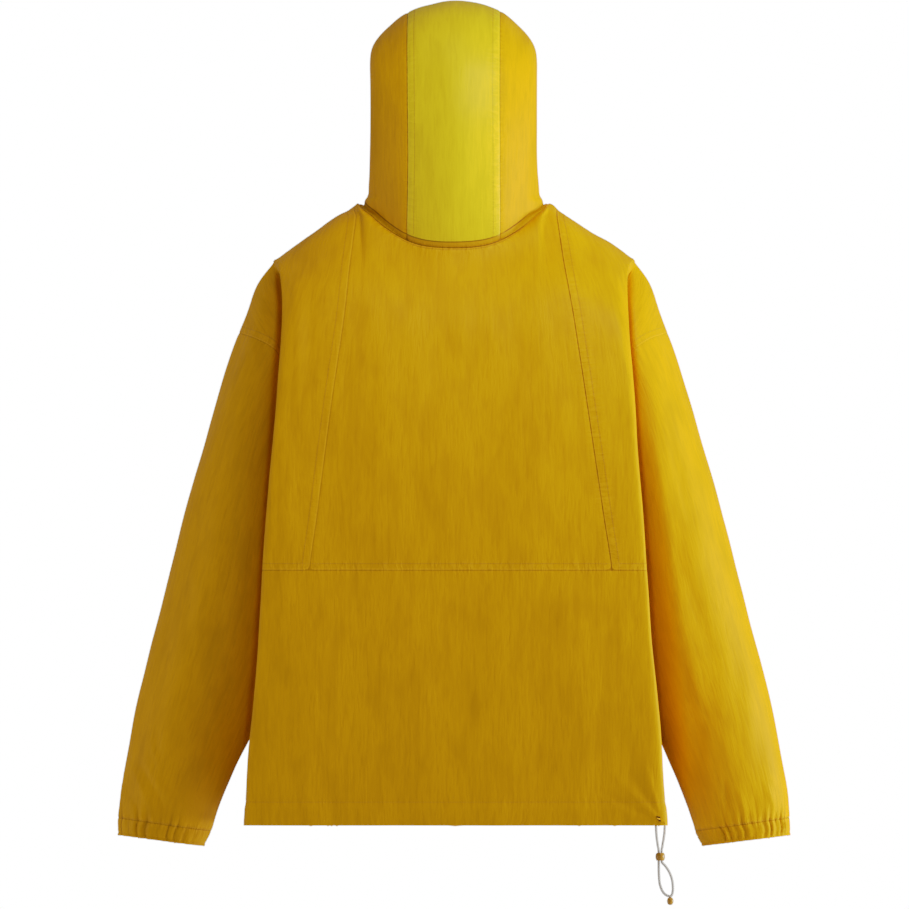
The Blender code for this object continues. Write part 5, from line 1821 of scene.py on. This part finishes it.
# ================================================================ operators
class ANORAK_OT_stage(bpy.types.Operator):
    """Adds the camera, the lights, the pale floor and the surrounding light"""

    bl_idname = "anorak.stage"
    bl_label = "Stage"

    def execute(self, context):
        scene, sizes = context.scene, context.scene.anorak_stage
        lens = bpy.data.cameras.new("camera")
        lens.sensor_width = 36.0
        lens.lens = 36.0 * sizes.distance / sizes.width
        lens.clip_start, lens.clip_end = 1.0, 200.0
        camera = placed("camera", lens)
        camera.location = Vector(sizes.centre) + Vector((0, sizes.distance, 0))
        camera.rotation_euler = (math.radians(90), 0, math.radians(180))
        scene.camera = camera
        scene.view_settings.view_transform = "Standard"
        scene.view_settings.use_curve_mapping = True
        film = scene.view_settings.curve_mapping
        for light, shown in FILM[1:-1]:
            film.curves[3].points.new(light, shown)
        film.update()
        world = bpy.data.worlds.new("studio")
        scene.world = world
        world.use_nodes = True
        tree = world.node_tree
        sky = tree.nodes["Background"]
        sky.inputs["Color"].default_value = (*sizes.fill_colour, 1)
        sky.inputs["Strength"].default_value = sizes.fill
        seen = node(tree, "ShaderNodeBackground")
        seen.inputs["Color"].default_value = (1, 1, 1, 1)
        seen.inputs["Strength"].default_value = 1.0
        ray = node(tree, "ShaderNodeLightPath")
        blend = node(tree, "ShaderNodeMixShader")
        link(tree, ray.outputs["Is Camera Ray"], blend.inputs[0])
        link(tree, sky.outputs[0], blend.inputs[1])
        link(tree, seen.outputs[0], blend.inputs[2])
        link(tree, blend.outputs[0], tree.nodes["World Output"].inputs[0])
        shape = bmesh.new()
        bmesh.ops.create_circle(shape, cap_ends=True, segments=96, radius=7.5)
        bmesh.ops.translate(shape, verts=shape.verts, vec=(0, 0, sizes.floor))
        mesh = bpy.data.meshes.new("floor")
        shape.to_mesh(mesh)
        shape.free()
        finish, tree, shader = new_finish("floor_paint", 0.8, 0.2)
        shader.inputs["Base Color"].default_value = (0.88, 0.88, 0.87, 1)
        mesh.materials.append(finish)
        placed("floor", mesh)
        for name, place, aim, power, size in LAMPS:
            lamp = bpy.data.lights.new(name, "AREA")
            lamp.shape = "DISK"
            lamp.size = size
            lamp.energy = power * sizes.key
            lamp.color = sizes.key_colour
            holder = placed(name, lamp)
            holder.visible_camera = False
            holder.location = place
            holder.rotation_euler = (Vector(place) - Vector(aim)).to_track_quat("Z", "Y").to_euler()
        return {"FINISHED"}


def tube(name, places, half_width, resolution, finish, end_share=1.0):
    """A round line through these places, with closed ends that may be thinner."""
    curve = bpy.data.curves.new(name, "CURVE")
    curve.dimensions = "3D"
    spline = curve.splines.new("POLY")
    spline.points.add(len(places) - 1)
    for point, place in zip(spline.points, places):
        point.co = (*place, 1.0)
    spline.points[0].radius = spline.points[-1].radius = end_share
    spline.use_smooth = True
    curve.bevel_depth = half_width
    curve.bevel_resolution = resolution
    curve.use_fill_caps = True
    return add_piece(name, curve, finish)


class ANORAK_OT_cord(bpy.types.Operator):
    """Adds the elastic hem cord with its stopper and its end bead"""

    bl_idname = "anorak.cord"
    bl_label = "Hem cord"

    def execute(self, context):
        route = np.array(CORD_ROUTE)
        run = np.linalg.norm(np.diff(route, axis=0), axis=1).sum()
        line = smooth(lengths(route), route, np.linspace(0, 1, int(run / 0.0015) + 1))
        cord = tube("hem_cord_elastic", line, CORD_DIAMETER / 2, 4, cord_finish())
        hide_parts("hem_cord")
        slit_lines()
        stopper = turned_bead(
            "stopper_bead", STOPPER_CENTRE, STOPPER_RADIUS, STOPPER_HALF_HEIGHT, STOPPER_HOLE_RADIUS,
            "cord_stopper",
        )
        tip = turned_bead("end_bead", CORD_END_CENTRE, CORD_END_RADIUS, CORD_END_HALF_HEIGHT, 0.0, "cord_end")
        return {"FINISHED"}


def on_cloth(x, z, lift):
    """The place on the back of the cloth at this x and z, lifted off it."""
    work = quilt()
    off = np.hypot(work["points"][:, 0] - x, work["points"][:, 2] - z) + (work["way"][:, 1] < 0.3)
    close = np.argsort(off)[:4]
    y = np.average(work["points"][close, 1] + work["casing"][close], weights=1 / (off[close] + 1e-5))
    return (x, y + bpy.context.scene.anorak_cloth.thickness / 2 + lift, z)


def slit_lines():
    shadow, _, shader = new_finish("slit_shadow", 0.9, 0.1)
    shader.inputs["Base Color"].default_value = (0.060, 0.016, 0.002, 1.0)
    binding, _, shader = new_finish("slit_binding", 0.6, 0.2)
    shader.inputs["Base Color"].default_value = (0.900, 0.420, 0.020, 1.0)
    for name, half_width, lift, finish, route in SLIT:
        places = [on_cloth(x, z, lift) for x, z in route]
        tube(name, places, half_width, 3, shadow if finish == "shadow" else binding, 0.45)


def turned_bead(name, centre, radius, half_height, hole, node_name):
    """A round moulded bead with rounded rims, about an upright axis."""
    steps, around = 17, 40
    start = math.asin(min(hole / radius, 1.0)) + 0.10 if hole else 0.0
    turns = np.linspace(start, math.pi - start, steps)
    wall = [(radius * math.sin(t) ** 0.85, half_height * math.cos(t)) for t in turns]
    if hole:
        top = wall[0][1]
        wall = [(hole, top * h) for h in (0.0, 0.5, 0.93)] + [(hole + 0.0003, top * 0.99)] + wall
        wall += [(hole + 0.0003, -top * 0.99)] + [(hole, -top * h) for h in (0.93, 0.5)]
    shape = bmesh.new()
    rings = []
    for r, h in wall:
        ring = []
        for k in range(around):
            turn = 2 * math.pi * k / around
            at = (centre[0] + r * math.cos(turn), centre[1] + r * math.sin(turn), centre[2] + h)
            ring.append(shape.verts.new(at))
        rings.append(ring)
    pairs = list(zip(rings, rings[1:])) + ([(rings[-1], rings[0])] if hole else [])
    for upper, lower in pairs:
        for k in range(around):
            j = (k + 1) % around
            shape.faces.new((upper[k], lower[k], lower[j], upper[j]))
    bmesh.ops.remove_doubles(shape, verts=shape.verts, dist=1e-6)
    bmesh.ops.recalc_face_normals(shape, faces=shape.faces)
    mesh = bpy.data.meshes.new(name)
    shape.to_mesh(mesh)
    shape.free()
    mesh.shade_smooth()
    made = add_piece(name, mesh, bead_finish())
    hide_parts(node_name)
    return made


class PanelStep:
    """A step that adds its panels of cloth."""

    def execute(self, context):
        for panel in self.panels:
            panel_piece(panel)
        return {"FINISHED"}


class ANORAK_OT_back(PanelStep, bpy.types.Operator):
    """Adds the back: tapered centre, side backs and the lower back with its hem"""

    bl_idname = "anorak.back"
    bl_label = "Back"
    panels = ("back_centre", "back_side_left", "back_side_right", "back_lower")


class ANORAK_OT_front(PanelStep, bpy.types.Operator):
    """Adds the plain front"""

    bl_idname = "anorak.front"
    bl_label = "Front"
    panels = ("front",)


class ANORAK_OT_hood(PanelStep, bpy.types.Operator):
    """Adds the hood: its strip over the crown and its two sides"""

    bl_idname = "anorak.hood"
    bl_label = "Hood"
    panels = ("hood_centre", "hood_side_left", "hood_side_right")


class ANORAK_OT_sleeves(PanelStep, bpy.types.Operator):
    """Adds the sleeves and their elastic cuffs"""

    bl_idname = "anorak.sleeves"
    bl_label = "Sleeves and cuffs"
    panels = ("sleeve_left", "sleeve_right", "cuff_left", "cuff_right")


class ANORAK_OT_stitching(bpy.types.Operator):
    """Adds the rows of stitches along the seams, the hem and the face opening"""

    bl_idname = "anorak.stitching"
    bl_label = "Stitching"

    def execute(self, context):
        for name, group in (
            ("stitches_hood", ("strip", "face")),
            ("stitches_neck", ("neck",)),
            ("stitches_back", ("taper", "level")),
            ("stitches_armholes", ("armhole",)),
            ("stitches_hem", ("hem", "cuff")),
        ):
            stitched(name, stitch_lines(group))
        return {"FINISHED"}


class ANORAK_PT_panel(bpy.types.Panel):
    """Lists the pieces of the anorak"""

    bl_label = "Anorak pullover"
    bl_idname = "ANORAK_PT_panel"
    bl_space_type = "VIEW_3D"
    bl_region_type = "UI"
    bl_category = "Anorak"

    def draw(self, context):
        for kind in STEPS:
            self.layout.operator(kind.bl_idname)
        for name in SETTINGS:
            box = self.layout.box()
            held = getattr(context.scene, name)
            for key in held.bl_rna.properties.keys():
                if key not in ("rna_type", "name"):
                    box.prop(held, key)


STEPS = (
    ANORAK_OT_stage,
    ANORAK_OT_cord,
    ANORAK_OT_back,
    ANORAK_OT_front,
    ANORAK_OT_hood,
    ANORAK_OT_sleeves,
    ANORAK_OT_stitching,
)
SETTINGS = {
    "anorak_cloth": AnorakCloth,
    "anorak_stitches": AnorakStitches,
    "anorak_look": AnorakLook,
    "anorak_stage": AnorakStage,
}


def register():
    for name, kind in SETTINGS.items():
        bpy.utils.register_class(kind)
        setattr(bpy.types.Scene, name, bpy.props.PointerProperty(type=kind))
    for kind in (*STEPS, ANORAK_PT_panel):
        bpy.utils.register_class(kind)


def unregister():
    for kind in reversed((*STEPS, ANORAK_PT_panel)):
        bpy.utils.unregister_class(kind)
    for name, kind in reversed(SETTINGS.items()):
        delattr(bpy.types.Scene, name)
        bpy.utils.unregister_class(kind)


def main():
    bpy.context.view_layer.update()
    register()
    for kind in STEPS:
        area, name = kind.bl_idname.split(".")
        getattr(getattr(bpy.ops, area), name)()


if __name__ == "__main__":
    main()
